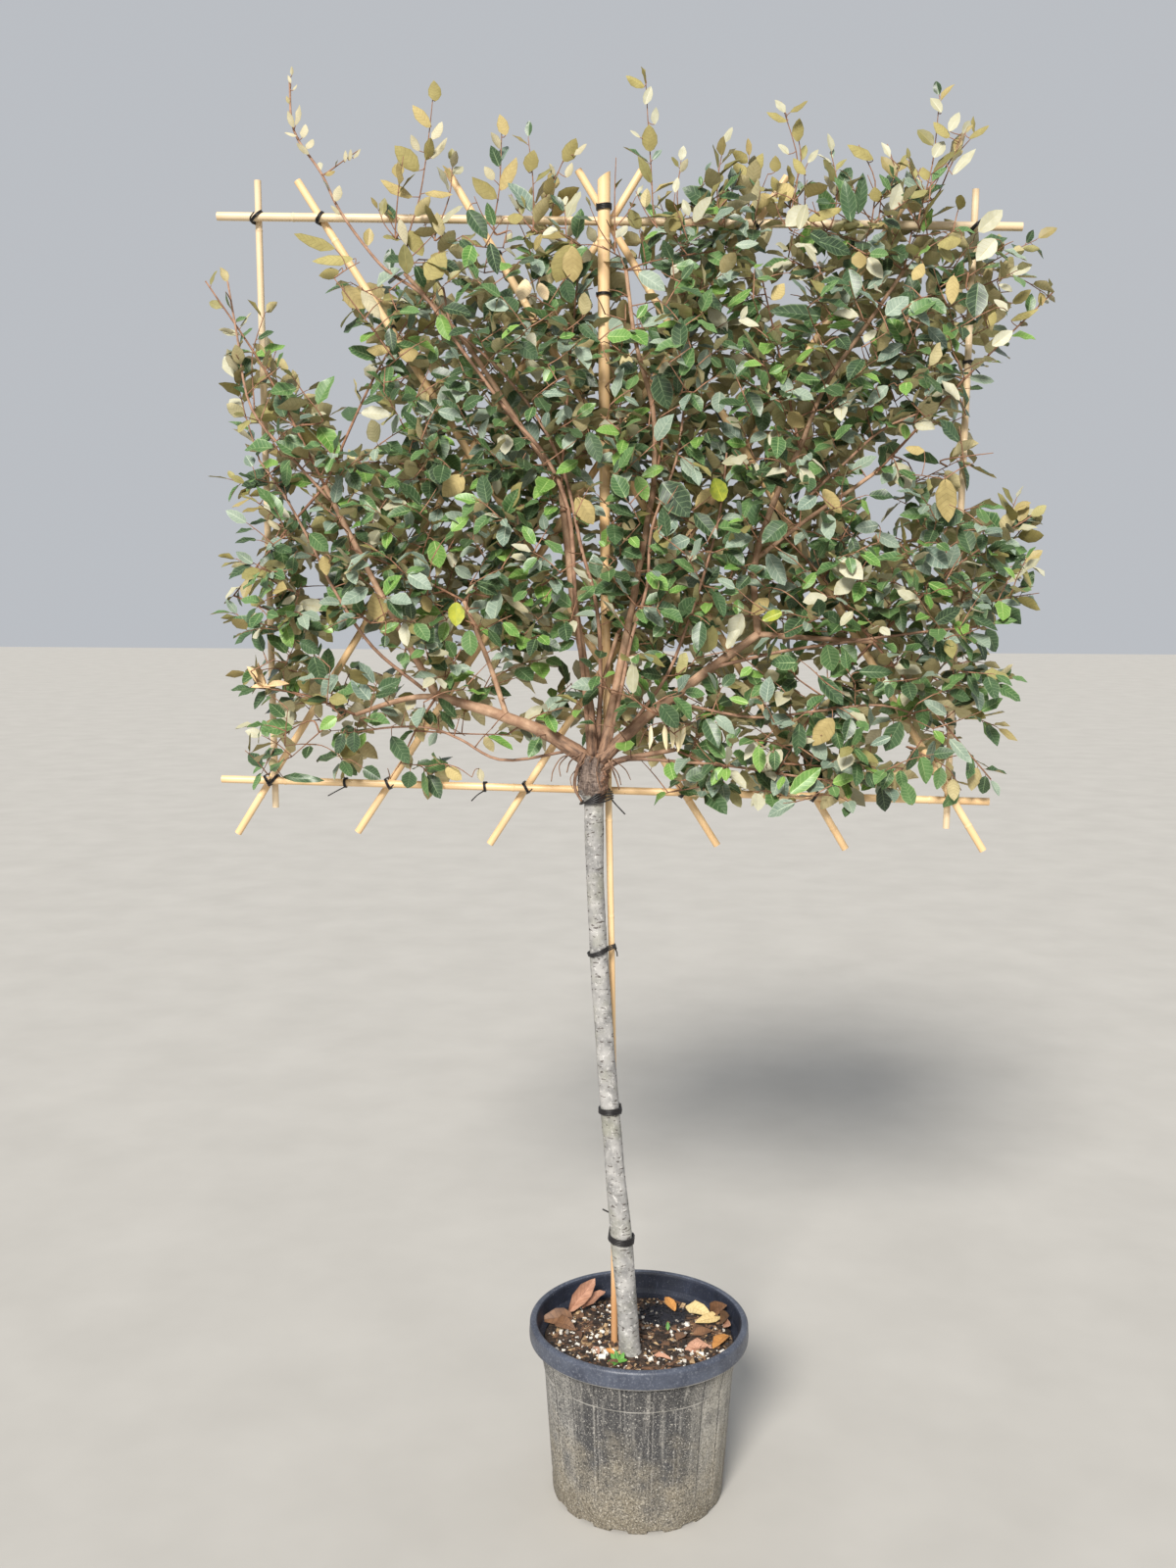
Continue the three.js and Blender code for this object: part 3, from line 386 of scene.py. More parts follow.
# Masses: the name, the row and column of the cell, the limb tip that the stem grows from, the X and
# height that it reaches, how many twigs open the space, as in the part's source, and how full of
# finer twigs it is
MASSES = [
    ("left_foot", 0, 0, LEFT_FOOT_TIP, (-760, 1665), 5, 0.75),
    ("left_inner_foot", 0, 1, LEFT_FORK, (-470, 1520), 6, 0.6),
    ("right_foot", 0, 2, RIGHT_FOOT_TIP, (165, 1480), 6, 0.85),
    ("right_low", 0, 3, OUTER_TIP, (250, 1500), 6, 0.9),
    ("far_right_foot", 0, 4, OUTER_TIP, (660, 1500), 6, 0.8),
    ("left_middle", 1, 0, LEFT_TIP, (-790, 1840), 5, 1.05),
    ("left_inner", 1, 1, INNER_TIP, (-560, 1930), 6, 1.15),
    ("centre_left", 1, 2, INNER_TIP, (-170, 2000), 6, 1.0),
    ("centre", 1, 3, CENTRE_TIP, (110, 1990), 6, 1.1),
    ("right_middle", 1, 4, OUTER_TIP, (200, 2010), 6, 1.15),
    ("far_right_middle", 1, 5, OUTER_TIP, (734, 2006), 6, 0.95),
    ("left_high", 2, 0, LEFT_TIP, (-828, 2424), 5, 0.75),
    ("left_inner_high", 2, 1, LEFT_TIP, (-400, 2420), 5, 1.0),
    ("centre_left_high", 2, 2, CENTRE_LEFT_TIP, (-130, 2420), 6, 1.1),
    ("centre_high", 2, 3, CENTRE_RIGHT_TIP, (100, 2420), 6, 1.2),
    ("right_high", 2, 4, RIGHT_TIP, (210, 2420), 6, 1.25),
    ("far_right_high", 2, 5, FAR_RIGHT_TIP, (740, 2398), 6, 0.95),
    ("left_crest", 3, 0, TOP_LEFT_TIP, (-664, 2820), 0, 0.3),
    ("inner_crest", 3, 1, TOP_LEFT_TIP, (-420, 2790), 3, 0.9),
    ("centre_left_crest", 3, 2, TOP_CENTRE_TIP, (-235, 2730), 3, 0.9),
    ("centre_crest", 3, 3, TOP_CENTRE_TIP, (-15, 2812), 3, 1.1),
    ("right_crest", 3, 4, TOP_RIGHT_TIP, (250, 2765), 3, 1.2),
    ("far_right_crest", 3, 5, TOP_RIGHT_TIP, (545, 2775), 3, 1.0),
]
MASS_NAMES = ["foliage_" + mass[0] for mass in MASSES]

# Long stems that run up and out in front of the boughs: the diameters at the foot and the tip, the
# distance in front at the foot and in the middle, and the X and height of each point
RUNNERS = [
    (9, 4, 80, 97, [(-104, 1545), (-114, 1673), (-130, 1821), (-145, 2003), (-189, 2102), (-253, 2175),
                    (-308, 2248), (-355, 2310), (-411, 2388), (-473, 2430), (-497, 2451), (-569, 2545),
                    (-603, 2612), (-655, 2691), (-664, 2788)]),
    (8, 4, 74, 92, [(-86, 1545), (-85, 1766), (-98, 1858), (-117, 1921), (-154, 2075), (-210, 2182),
                    (-273, 2257), (-319, 2300), (-364, 2340), (-382, 2412)]),
    (8, 4, 80, 98, [(-70, 1540), (-42, 1673), (-24, 1766), (3, 1858), (11, 1967), (55, 2093), (72, 2218)]),
    (7, 4, 66, 92, [(-30, 1590), (42, 1693), (78, 1785), (113, 1895), (139, 2004), (150, 2110)]),
    (7, 4, 58, 84, [(287, 2004), (309, 2034), (363, 2085), (432, 2148), (504, 2182)]),
    (7, 4, 66, 88, [(120, 1706), (253, 1740), (354, 1756), (524, 1779), (626, 1788)]),
    (7, 4, 84, 78, [(-56, 1532), (0, 1534), (81, 1529), (163, 1522), (279, 1504), (379, 1490)]),
    (6, 3.5, 66, 84, [(40, 1646), (208, 1616), (320, 1628), (448, 1640), (541, 1613)]),
    (6, 3.5, 74, 88, [(-130, 1550), (-276, 1531), (-351, 1570), (-407, 1590), (-482, 1590), (-577, 1575)]),
    (7, 4, 64, 82, [(-420, 1660), (-519, 1744), (-592, 1855), (-629, 1929), (-680, 2020), (-737, 2096)]),
    (6, 3.5, 60, 78, [(-600, 2020), (-663, 2093), (-741, 2187), (-769, 2330), (-789, 2425)]),
]

# Shoots that stand out of the crown: the distance in front at the tip, the size of the leaves, and X
# and height of each point
SHOOT_LEAVES = 1.12
SHOOTS = [
    (45, 0.45, [(-603, 2612), (-564, 2640), (-538, 2660)]),
    (45, SHOOT_LEAVES, [(-451, 2490), (-426, 2577), (-408, 2682), (-397, 2771)]),
    (75, SHOOT_LEAVES, [(-470, 2500), (-462, 2580), (-450, 2640)]),
    (25, SHOOT_LEAVES, [(-400, 2500), (-372, 2580), (-366, 2640)]),
    (40, SHOOT_LEAVES, [(-285, 2507), (-276, 2594), (-272, 2711)]),
    (70, SHOOT_LEAVES, [(-212, 2506), (-212, 2593), (-221, 2671)]),
    (20, SHOOT_LEAVES, [(-185, 2528), (-176, 2609), (-146, 2674)]),
    (85, 0.6, [(-61, 2470), (-62, 2560), (-60, 2632)]),
    (60, SHOOT_LEAVES, [(18, 2505), (3, 2626), (-8, 2774)]),
    (20, SHOOT_LEAVES, [(60, 2500), (52, 2580), (58, 2640)]),
    (60, SHOOT_LEAVES, [(132, 2521), (125, 2591), (135, 2659)]),
    (10, SHOOT_LEAVES, [(180, 2520), (190, 2600), (184, 2650)]),
    (45, SHOOT_LEAVES, [(258, 2520), (273, 2624), (239, 2737)]),
    (15, SHOOT_LEAVES, [(262, 2560), (280, 2640), (271, 2696)]),
    (65, SHOOT_LEAVES, [(330, 2510), (342, 2580), (330, 2640)]),
    (45, SHOOT_LEAVES, [(410, 2519), (413, 2597), (381, 2661)]),
    (15, SHOOT_LEAVES, [(454, 2536), (457, 2605), (437, 2670)]),
    (55, SHOOT_LEAVES, [(490, 2519), (513, 2622), (523, 2741)]),
    (75, SHOOT_LEAVES, [(500, 2570), (540, 2620), (560, 2668)]),
    (30, SHOOT_LEAVES, [(524, 2570), (557, 2639), (599, 2689)]),
    (55, SHOOT_LEAVES, [(582, 2400), (662, 2425), (725, 2396)]),
    (30, SHOOT_LEAVES, [(538, 2397), (624, 2452), (712, 2496)]),
    (60, SHOOT_LEAVES, [(549, 2096), (603, 2105), (642, 2109)]),
    (60, SHOOT_LEAVES, [(629, 1897), (663, 1952), (687, 2025)]),
    (20, SHOOT_LEAVES, [(640, 1900), (690, 1950), (725, 1990)]),
    (55, SHOOT_LEAVES, [(613, 1824), (685, 1843), (738, 1852)]),
    (70, SHOOT_LEAVES, [(600, 1850), (680, 1900), (725, 1905)]),
    (50, SHOOT_LEAVES, [(544, 1694), (637, 1676), (691, 1695)]),
    (60, SHOOT_LEAVES, [(560, 1640), (620, 1620), (668, 1600)]),
    (40, SHOOT_LEAVES, [(500, 1560), (580, 1520), (610, 1475)]),
    (45, SHOOT_LEAVES, [(-737, 2096), (-772, 2223), (-773, 2322)]),
    (70, SHOOT_LEAVES, [(-671, 2096), (-748, 2050), (-789, 2059)]),
    (60, SHOOT_LEAVES, [(-613, 2169), (-650, 2223), (-673, 2259)]),
    (40, SHOOT_LEAVES, [(-741, 2187), (-745, 2290), (-722, 2370)]),
    (55, SHOOT_LEAVES, [(-695, 1855), (-752, 1892), (-784, 1910)]),
    (70, SHOOT_LEAVES, [(-678, 1780), (-745, 1789), (-790, 1807)]),
    (45, SHOOT_LEAVES, [(-640, 1690), (-720, 1700), (-770, 1690)]),
    (60, SHOOT_LEAVES, [(-640, 1600), (-700, 1570), (-742, 1500)]),
]

# The side outline that the finer twigs fill, in X and height
OUTLINE = [
    (-620, 2440), (-570, 2450), (-505, 2460), (-477, 2500), (-403, 2530), (-349, 2500), (-312, 2530),
    (-185, 2545), (-113, 2550), (-67, 2520), (-23, 2540), (49, 2560), (139, 2580), (202, 2580), (245, 2590),
    (353, 2580), (450, 2600), (528, 2610), (560, 2575), (572, 2520), (650, 2485), (670, 2414), (650, 2344),
    (600, 2318), (600, 2221), (625, 2114), (590, 2042), (650, 2000), (690, 1900), (680, 1800), (638, 1740),
    (630, 1602), (590, 1530), (520, 1485), (470, 1452), (365, 1452), (82, 1452), (-13, 1490), (-51, 1556),
    (-184, 1566), (-260, 1505), (-414, 1480), (-626, 1485), (-695, 1495), (-737, 1530), (-748, 1665),
    (-752, 1929), (-746, 2095), (-760, 2223), (-776, 2314), (-792, 2400), (-775, 2425), (-742, 2380),
    (-720, 2333), (-672, 2270), (-645, 2210), (-605, 2140), (-575, 2105), (-500, 2105), (-455, 2135),
    (-455, 2185), (-495, 2225), (-515, 2275), (-505, 2340), (-548, 2395), (-640, 2450),
]

# The looks of a leaf's faces. The first two also say which side a leaf shows.
UPPER, UNDER, RIB = 0, 1, 2

# Sky: open windows in the crown, each an oval in X and height with its half width and half height,
# and the share of the leaves there that is left out
WINDOWS = [
    (-640, 2345, 58, 110, 1.0),
    (-775, 2360, 70, 80, 0.6),
    (-648, 2030, 26, 36, 0.7),
    (-631, 1866, 34, 42, 0.75),
    (660, 2595, 80, 50, 0.95),
    (250, 2385, 42, 52, 0.9),
    (-20, 2420, 26, 50, 0.7),
    (520, 2110, 58, 50, 0.8),
    (455, 2010, 34, 40, 0.6),
    (650, 2160, 60, 90, 1.0),
    (-560, 1745, 60, 40, 0.85),
    (-640, 1560, 46, 70, 0.85),
    (-480, 1560, 44, 46, 0.85),
    (-330, 1560, 70, 50, 0.9),
    (-238, 1655, 44, 36, 0.8),
    (-190, 1505, 80, 50, 1.0),
    (0, 1495, 56, 42, 1.0),
    (-94, 1490, 62, 76, 1.0),
    (330, 1690, 44, 30, 0.8),
    (480, 1560, 44, 36, 0.8),
    (600, 1570, 30, 56, 0.8),
    (-200, 1930, 26, 34, 0.6),
]

# Stretches of cane that the leaves in front leave open: X and height at both ends, and the share of the
# leaves there that is left out. Leaves count as far to the side as that share of the width.
SHOWN_CANES = [
    (-806, 2540, -347, 2526, 0.95), (-338, 2526, -112, 2521, 0.6), (-58, 2521, 6, 2519, 0.7),
    (480, 2512, 748, 2504, 1.0), (500, 2550, 740, 2542, 0.7), (-82, 2665, -80, 2397, 0.9),
    (-80, 2397, -81, 2220, 0.75), (-81, 2220, -72, 1931, 0.3), (-72, 1931, -66, 1559, 0.45),
    (-727, 2602, -725, 2221, 0.95), (-725, 2221, -720, 1686, 0.8), (-720, 1686, -714, 1437, 0.75),
    (591, 2575, 592, 1933, 0.85), (592, 1933, 579, 1677, 0.35), (579, 1677, 581, 1414, 0.7),
    (-639, 2593, -504, 2390, 0.95), (-477, 2346, -405, 2221, 0.92), (46, 1932, 152, 1776, 0.6),
    (-370, 2611, -329, 2547, 0.95), (-329, 2547, -266, 2451, 0.3), (-266, 2451, -202, 2345, 0.85),
    (245, 2010, 306, 1914, 0.7), (316, 1896, 431, 1713, 0.5), (-130, 2615, -90, 2551, 0.9),
    (-72, 2528, -17, 2441, 0.8), (489, 1602, 646, 1368, 0.9), (-13, 2614, -54, 2554, 0.9),
    (-789, 1378, -679, 1562, 0.95), (-659, 1601, -609, 1687, 0.5), (-580, 1743, -503, 1828, 0.8),
    (246, 2603, 224, 2535, 0.85), (-557, 1381, -488, 1497, 0.95), (-468, 1536, -401, 1603, 0.6),
    (58, 1932, 115, 2032, 0.8), (192, 2122, 227, 2175, 0.7), (-288, 1371, -183, 1539, 0.9),
    (-183, 1539, -108, 1662, 0.7), (82, 1456, 140, 1367, 0.95), (230, 1609, 297, 1515, 0.8),
    (307, 1487, 388, 1364, 0.95), (-819, 1488, -700, 1485, 0.9), (-700, 1485, -488, 1482, 0.4),
    (-488, 1482, -126, 1476, 0.9), (-60, 1473, 25, 1472, 0.8), (25, 1472, 568, 1461, 0.35),
    (568, 1461, 648, 1457, 0.95),
]
SHOWN_WIDTH = 32

# Stretches to leave open before the curled leaves, and the share left out before boughs and long stems
SHOWN_LEAVES = [(0, 1582, 90, 1582), (-770, 1715, -690, 1672)]
SHOWN_LEAF_WIDTH = 38
SHOWN_LEAF_Y = -120
SHOWN_BOUGH_SHARE = 0.88
SHOWN_STEM_SHARE = 0.8

# Leaves that stand out, by kind and by the side that they show: X and height on the crown's face of the
# stalk and of the tip, and the width as a share of the length
PLACED_FRONT = -120
PLACED_LEAVES = {
    ("olive", UNDER): [
        (-145, 2486, -170, 2419, 0.62), (-411, 2424, -378, 2476, 0.7), (-392, 2740, -395, 2778, 0.64),
        (-424, 2618, -468, 2665, 0.55), (-222, 2614, -213, 2654, 0.72), (-157, 2632, -133, 2672, 0.62),
        (-582, 2481, -660, 2502, 0.34), (-548, 2462, -627, 2463, 0.3), (-575, 2441, -613, 2430, 0.6),
        (-280, 2568, -326, 2606, 0.5), (-442, 2513, -419, 2466, 0.62), (-261, 2535, -230, 2531, 0.8),
        (-10, 2760, -44, 2780, 0.4), (1, 2648, -1, 2696, 0.66), (249, 2698, 211, 2714, 0.36),
        (268, 2663, 271, 2704, 0.56), (254, 2714, 286, 2733, 0.28), (230, 2611, 229, 2638, 0.75),
        (284, 2606, 262, 2636, 0.5), (542, 2668, 512, 2695, 0.5), (577, 2666, 611, 2685, 0.3),
        (407, 2631, 360, 2660, 0.45), (416, 2557, 410, 2584, 0.9), (289, 2526, 355, 2547, 0.3),
        (570, 2491, 526, 2481, 0.6), (666, 2377, 699, 2401, 0.5), (664, 2347, 714, 2365, 0.25),
        (626, 2337, 636, 2364, 0.6), (41, 2508, 57, 2546, 0.7), (503, 2594, 497, 2619, 0.8),
    ],
    ("bronze", UNDER): [
        (-141, 2484, -137, 2421, 0.6), (-402, 2694, -435, 2734, 0.46), (-263, 2679, -274, 2714, 0.55),
        (-273, 2582, -242, 2638, 0.42), (-436, 2572, -497, 2601, 0.34), (-414, 2579, -362, 2578, 0.3),
        (-599, 2612, -580, 2620, 0.5), (-569, 2413, -525, 2375, 0.7), (-466, 2289, -429, 2296, 0.8),
        (-481, 2298, -528, 2301, 0.5), (385, 2471, 388, 2440, 0.9), (558, 2428, 555, 2375, 0.5),
        (263, 2184, 292, 2154, 0.8), (228, 2385, 250, 2415, 0.7), (502, 2449, 484, 2416, 0.6),
        (-505, 1789, -519, 1848, 0.62), (-345, 2067, -385, 2028, 0.78), (-132, 2027, -99, 1977, 0.62),
        (-383, 1511, -352, 1488, 0.7), (-614, 1917, -609, 1879, 0.6), (-424, 1842, -410, 1809, 0.7),
        (555, 2063, 564, 1981, 0.5), (330, 2043, 367, 1997, 0.45), (359, 1614, 322, 1560, 0.6),
        (233, 1840, 199, 1808, 0.6), (120, 2044, 92, 2010, 0.5), (516, 2112, 479, 2117, 0.5),
    ],
    ("cream", UNDER): [
        (-461, 2534, -449, 2486, 0.36), (-534, 2406, -500, 2358, 0.4), (-399, 2673, -380, 2704, 0.5),
        (-423, 2653, -439, 2681, 0.5), (-401, 2639, -370, 2675, 0.28), (-285, 2601, -303, 2626, 0.55),
        (-138, 2643, -115, 2664, 0.4), (-152, 2604, -141, 2630, 0.5), (-640, 2678, -634, 2703, 0.7),
        (-633, 2659, -620, 2677, 0.7), (-628, 2649, -651, 2668, 0.4), (-656, 2696, -666, 2728, 0.36),
        (-652, 2700, -644, 2737, 0.36), (-650, 2681, -673, 2689, 0.3), (-580, 2565, -572, 2594, 0.6),
        (-572, 2542, -589, 2558, 0.35), (-659, 2774, -664, 2788, 0.4), (-657, 2788, -657, 2804, 0.4),
        (-656, 2761, -648, 2773, 0.35), (-561, 2635, -560, 2656, 0.4), (-553, 2637, -549, 2657, 0.4),
        (-545, 2641, -533, 2660, 0.35), (-252, 2507, -268, 2489, 0.5), (-307, 1941, -339, 1962, 0.42),
        (-671, 1841, -696, 1823, 0.5), (-220, 1810, -274, 1845, 0.25), (-182, 1832, -195, 1808, 0.6),
        (-721, 1983, -696, 1964, 0.4), (-318, 1511, -312, 1483, 0.5),
    ],
    ("dry", UNDER): [
        (-227, 2425, -235, 2384, 0.68), (-201, 2418, -187, 2386, 0.6),
    ],
    ("deep", UPPER): [
        (-334, 2549, -298, 2497, 0.5), (-293, 2490, -279, 2434, 0.45), (-157, 2423, -141, 2381, 0.7),
        (-482, 2338, -477, 2296, 0.5), (369, 2522, 356, 2596, 0.42), (382, 2536, 389, 2609, 0.36),
        (309, 2489, 374, 2470, 0.5), (295, 2504, 332, 2482, 0.7), (366, 2440, 380, 2383, 0.6),
        (603, 2415, 598, 2349, 0.62), (319, 2356, 223, 2365, 0.34), (186, 2220, 209, 2173, 0.7),
        (18, 2253, 40, 2189, 0.62), (-488, 1572, -454, 1517, 0.5), (-452, 1504, -458, 1469, 0.85),
        (-544, 1509, -510, 1488, 0.7), (-561, 1580, -561, 1538, 0.7), (-582, 1577, -596, 1533, 0.5),
        (-637, 1725, -621, 1667, 0.6), (-664, 1753, -625, 1731, 0.6), (-109, 2148, -87, 2090, 0.5),
        (-703, 1490, -624, 1486, 0.22), (296, 1605, 294, 1539, 0.45), (487, 1609, 460, 1552, 0.6),
        (329, 1695, 377, 1638, 0.42), (29, 2055, 81, 1993, 0.7), (406, 1702, 472, 1703, 0.4),
        (90, 1999, 133, 1948, 0.5), (544, 1795, 594, 1824, 0.5),
    ],
    ("fresh", UPPER): [
        (-388, 2362, -370, 2314, 0.55), (-131, 2176, -95, 2200, 0.5), (-164, 2319, -134, 2326, 0.5),
        (-191, 2238, -176, 2271, 0.6), (146, 2373, 192, 2404, 0.36), (381, 2342, 330, 2334, 0.36),
        (225, 2253, 253, 2267, 0.5), (-20, 2353, 0, 2378, 0.5), (-402, 1946, -389, 1895, 0.72),
        (-412, 1998, -455, 2015, 0.4), (-594, 1608, -629, 1584, 0.6), (-597, 1771, -622, 1783, 0.5),
        (-508, 1771, -469, 1788, 0.45), (-128, 2095, -169, 2066, 0.5), (-76, 1935, -89, 1946, 0.6),
        (281, 1468, 340, 1520, 0.42), (199, 1641, 161, 1651, 0.42), (296, 1857, 321, 1889, 0.5),
        (176, 1808, 175, 1839, 0.7), (530, 1870, 579, 1847, 0.4), (-18, 2067, 3, 2021, 0.55),
    ],
    ("cream", UPPER): [
        (-9, 2730, 2, 2763, 0.5), (9, 2695, 12, 2726, 0.5), (-17, 2673, -36, 2686, 0.3),
        (246, 2714, 226, 2736, 0.5), (253, 2641, 234, 2660, 0.55), (288, 2626, 307, 2650, 0.4),
        (526, 2711, 506, 2740, 0.5), (541, 2678, 558, 2710, 0.5), (549, 2603, 590, 2651, 0.28),
        (515, 2633, 532, 2664, 0.7), (436, 2634, 421, 2663, 0.4), (289, 2551, 252, 2513, 0.7),
        (275, 2509, 288, 2552, 0.45), (600, 2503, 642, 2542, 0.55), (631, 2491, 597, 2451, 0.62),
        (308, 2451, 284, 2483, 0.36), (658, 2363, 634, 2386, 0.5), (632, 2302, 669, 2329, 0.55),
        (665, 2398, 640, 2413, 0.5), (167, 2350, 206, 2337, 0.4), (172, 2351, 183, 2375, 0.5),
        (48, 2576, 52, 2604, 0.5), (74, 2535, 62, 2565, 0.5),
    ],
    ("silvery", UPPER): [
        (-18, 2435, 32, 2405, 0.55), (135, 2221, 133, 2182, 0.8), (445, 2231, 406, 2196, 0.45),
        (471, 2305, 422, 2277, 0.5), (514, 2336, 550, 2297, 0.48), (6, 2634, 23, 2652, 0.5),
        (111, 2298, 101, 2260, 0.7), (159, 2483, 203, 2483, 0.4), (-592, 2015, -581, 2062, 0.5),
        (-747, 2083, -760, 2105, 0.85), (-751, 1901, -784, 1923, 0.5), (-693, 1949, -727, 1928, 0.5),
        (-590, 1688, -628, 1650, 0.6), (-363, 1896, -330, 1875, 0.6), (580, 1577, 621, 1529, 0.38),
        (470, 1579, 430, 1562, 0.4), (229, 1924, 261, 1864, 0.5), (436, 1977, 390, 1968, 0.6),
        (430, 1960, 478, 1938, 0.5), (573, 1622, 531, 1651, 0.5),
    ],
    ("mid", UPPER): [
        (-336, 1777, -331, 1727, 0.72), (-543, 2031, -510, 1998, 0.5), (-640, 1958, -605, 1925, 0.7),
        (-672, 1914, -675, 1880, 0.8), (-150, 2090, -128, 2074, 0.6), (-478, 1918, -453, 1945, 0.5),
        (288, 1719, 238, 1718, 0.6), (344, 1754, 357, 1702, 0.7), (250, 1552, 251, 1512, 0.6),
        (515, 1448, 496, 1495, 0.6), (37, 1787, 17, 1766, 0.8),
    ],
    ("blotched", UPPER): [
        (-360, 1830, -361, 1783, 0.72), (144, 2020, 125, 2064, 0.75), (259, 1814, 221, 1799, 0.55),
    ],
}

# Kinds of leaf: the upper side's two colours, the underside's two, the midrib's and the roughness
LEAF_KINDS = {
    "deep": ((60, 88, 54), (34, 54, 34), (210, 198, 152), (174, 160, 114), (132, 152, 112), 0.36),
    "mid": ((90, 126, 72), (56, 90, 50), (216, 204, 158), (180, 166, 118), (160, 180, 128), 0.38),
    "silvery": ((140, 156, 138), (98, 120, 106), (222, 212, 168), (186, 174, 130), (184, 196, 172), 0.52),
    "fresh": ((118, 158, 74), (78, 124, 52), (214, 208, 152), (180, 172, 118), (178, 200, 130), 0.38),
    "olive": ((158, 152, 98), (120, 116, 70), (172, 161, 102), (140, 129, 78), (126, 114, 64), 0.5),
    "bronze": ((176, 160, 106), (138, 126, 78), (196, 178, 122), (162, 144, 94), (136, 118, 76), 0.52),
    "cream": ((196, 195, 174), (168, 166, 138), (200, 192, 162), (172, 164, 132), (178, 170, 128), 0.56),
    "blotched": ((190, 190, 60), (84, 118, 46), (200, 192, 114), (170, 164, 94), (164, 176, 80), 0.42),
    "dry": ((240, 216, 172), (220, 186, 142), (240, 218, 176), (218, 186, 144), (192, 156, 116), 0.75),
    "straw": ((244, 236, 206), (232, 218, 176), (244, 236, 208), (230, 218, 178), (210, 192, 142), 0.7),
}

# The share of each kind among mature and young leaves
MATURE_SHARES = {"deep": 0.34, "mid": 0.26, "silvery": 0.2, "fresh": 0.09, "olive": 0.07, "cream": 0.04}
YOUNG_SHARES = {"olive": 0.36, "bronze": 0.24, "cream": 0.2, "silvery": 0.12, "mid": 0.08}

# Curled dead leaves on twigs of their own: the kind, the twig's points, the width share, the fold, and
# each leaf's place, direction, facing and length
CURL_DROOP = 0.2
CURL_WAVE = 0.03
STRAW_TIPS = [
    ((13, -128, 1604), (0.05, -0.1, -1), (0.5, -1, 0), 46),
    ((40, -127, 1606), (0.0, -0.1, -1), (-0.4, -1, 0), 50),
    ((52, -130, 1608), (0.1, -0.1, -1), (0.2, -1, 0), 48),
    ((64, -127, 1607), (-0.05, -0.2, -1), (-0.6, -1, 0), 52),
    ((77, -128, 1605), (-0.2, -0.1, -1), (0.3, -1, 0), 54),
]
DRY_TIPS = [
    ((-728, -84, 1668), (-0.62, -0.1, 0.8), (0.4, -1, 0.2), 50),
    ((-724, -82, 1672), (-0.4, -0.2, 0.9), (-0.4, -1, 0), 44),
    ((-720, -86, 1668), (0.9, -0.1, 0.2), (0.1, -0.8, 0.5), 40),
    ((-716, -84, 1664), (-0.95, -0.1, 0.15), (0, -0.7, 0.7), 38),
]
STRAW_TWIG = [(-10, -100, 1560), (10, -122, 1600), (50, -128, 1610), (84, -126, 1606)]
DRY_TWIG = [(-640, -70, 1640), (-690, -82, 1660), (-728, -84, 1668)]
CURLS = [("straw", STRAW_TWIG, 0.22, 0.3, STRAW_TIPS), ("dry", DRY_TWIG, 0.36, 1.1, DRY_TIPS)]

# Young growth: it starts at these places and is full after its reach, and counts for less at the sides
YOUNG_TOP = 2490
YOUNG_TOP_LEFT = 2430
YOUNG_TOP_SPLIT = -150
YOUNG_LEFT = -690
YOUNG_RIGHT = 620
YOUTH_REACH = 110
SIDE_YOUTH = 0.8
YOUNG_ENOUGH = 0.3

# Growth rule: the draws
CROWN_SEED = 71
SHOOT_SEED = 171
RUNNER_SEED = 271
PLACED_SEED = 471

# Growth rule: the wood
STEM_DIAMETER = 6
STEM_TIP_DIAMETER = 3
STEM_BOW = 0.08
STEM_DRIFT = 30
TWIG_DIAMETER = 4.2
TWIG_TIP_DIAMETER = 2
FINE_DIAMETER = 2.8
FINE_TIP_DIAMETER = 1.5
TWIG_LIFT = 0.12
TWIG_SHORTEST = 45
FINE_SHORTEST = 26
FINE_LONGEST = 190
TWIG_TRIES = 9
TWIG_JITTER = 14
CELL_MARGIN = np.array([4.0, 14.0, 4.0])
SPREAD_STEPS = (0.8191725, 0.6710436, 0.5497005)
SPREAD_OFFSET = 0.137
FINE_PER_LITRE = 4.0
DOWNWARD_COST = 3.0
DOWNWARD_SLACK = 10
WOOD_CLEARANCE = 2.5
LIMB_MARGIN = 9
RUNNER_END = 50
RUNNER_BARE = 0.42
FORKING_HEIGHT = 2600
FORK_REACH = 30

# Growth rule: the leaves. Angles are from the twig, in degrees, and a pair is a middle value and how far
# a draw goes from it.
LEAF_CLEARANCE = 1.5
LEAF_SPACING = 13.5
LEAF_LENGTH = 48
LEAF_TRIES = 3
LEAF_TURN = 2.4
LEAF_ANGLE = (54, 16)
TIP_LEAF_ANGLE = (12, 8)
YOUNG_ANGLE_CUT = 16
YOUNG_LENGTH_CUT = 0.36
LEAF_WIDTH = (0.57, 0.1)
YOUNG_WIDTH_CUT = 0.07
LEAF_FOLD = (0.26, 0.2)
LEAF_DROOP = (0.1, 0.16)
LEAF_WAVE = (0.05, 0.022)
PLACED_FOLD = (0.26, 0.16)
PLACED_DROOP = (0, 0.16)
PLACED_WAVE = (0.042, 0.016)
PLACED_TILT = 0.25
PLACED_TRIES = 5
PLACED_STEP = 12
SIDE_START = 0.7
SIDE_FACING = 2.5
PETIOLE_LENGTH = 6
PETIOLE_DIAMETER = 1.5
TONE_WEIGHT = 0.5
YOUNG_KIND_SHARE = 0.9

# Light and floor
SKY_COLOUR = (222, 226, 232)
SKY_STRENGTH = 0.68
SUN_STRENGTH = 4.5
SUN_SIZE = math.radians(16)
SUN_COLOUR = (1.0, 0.96, 0.9)
SUN_PLACE = (-0.24, -1.1, 0.8)
FLOOR_HALF = 40.0


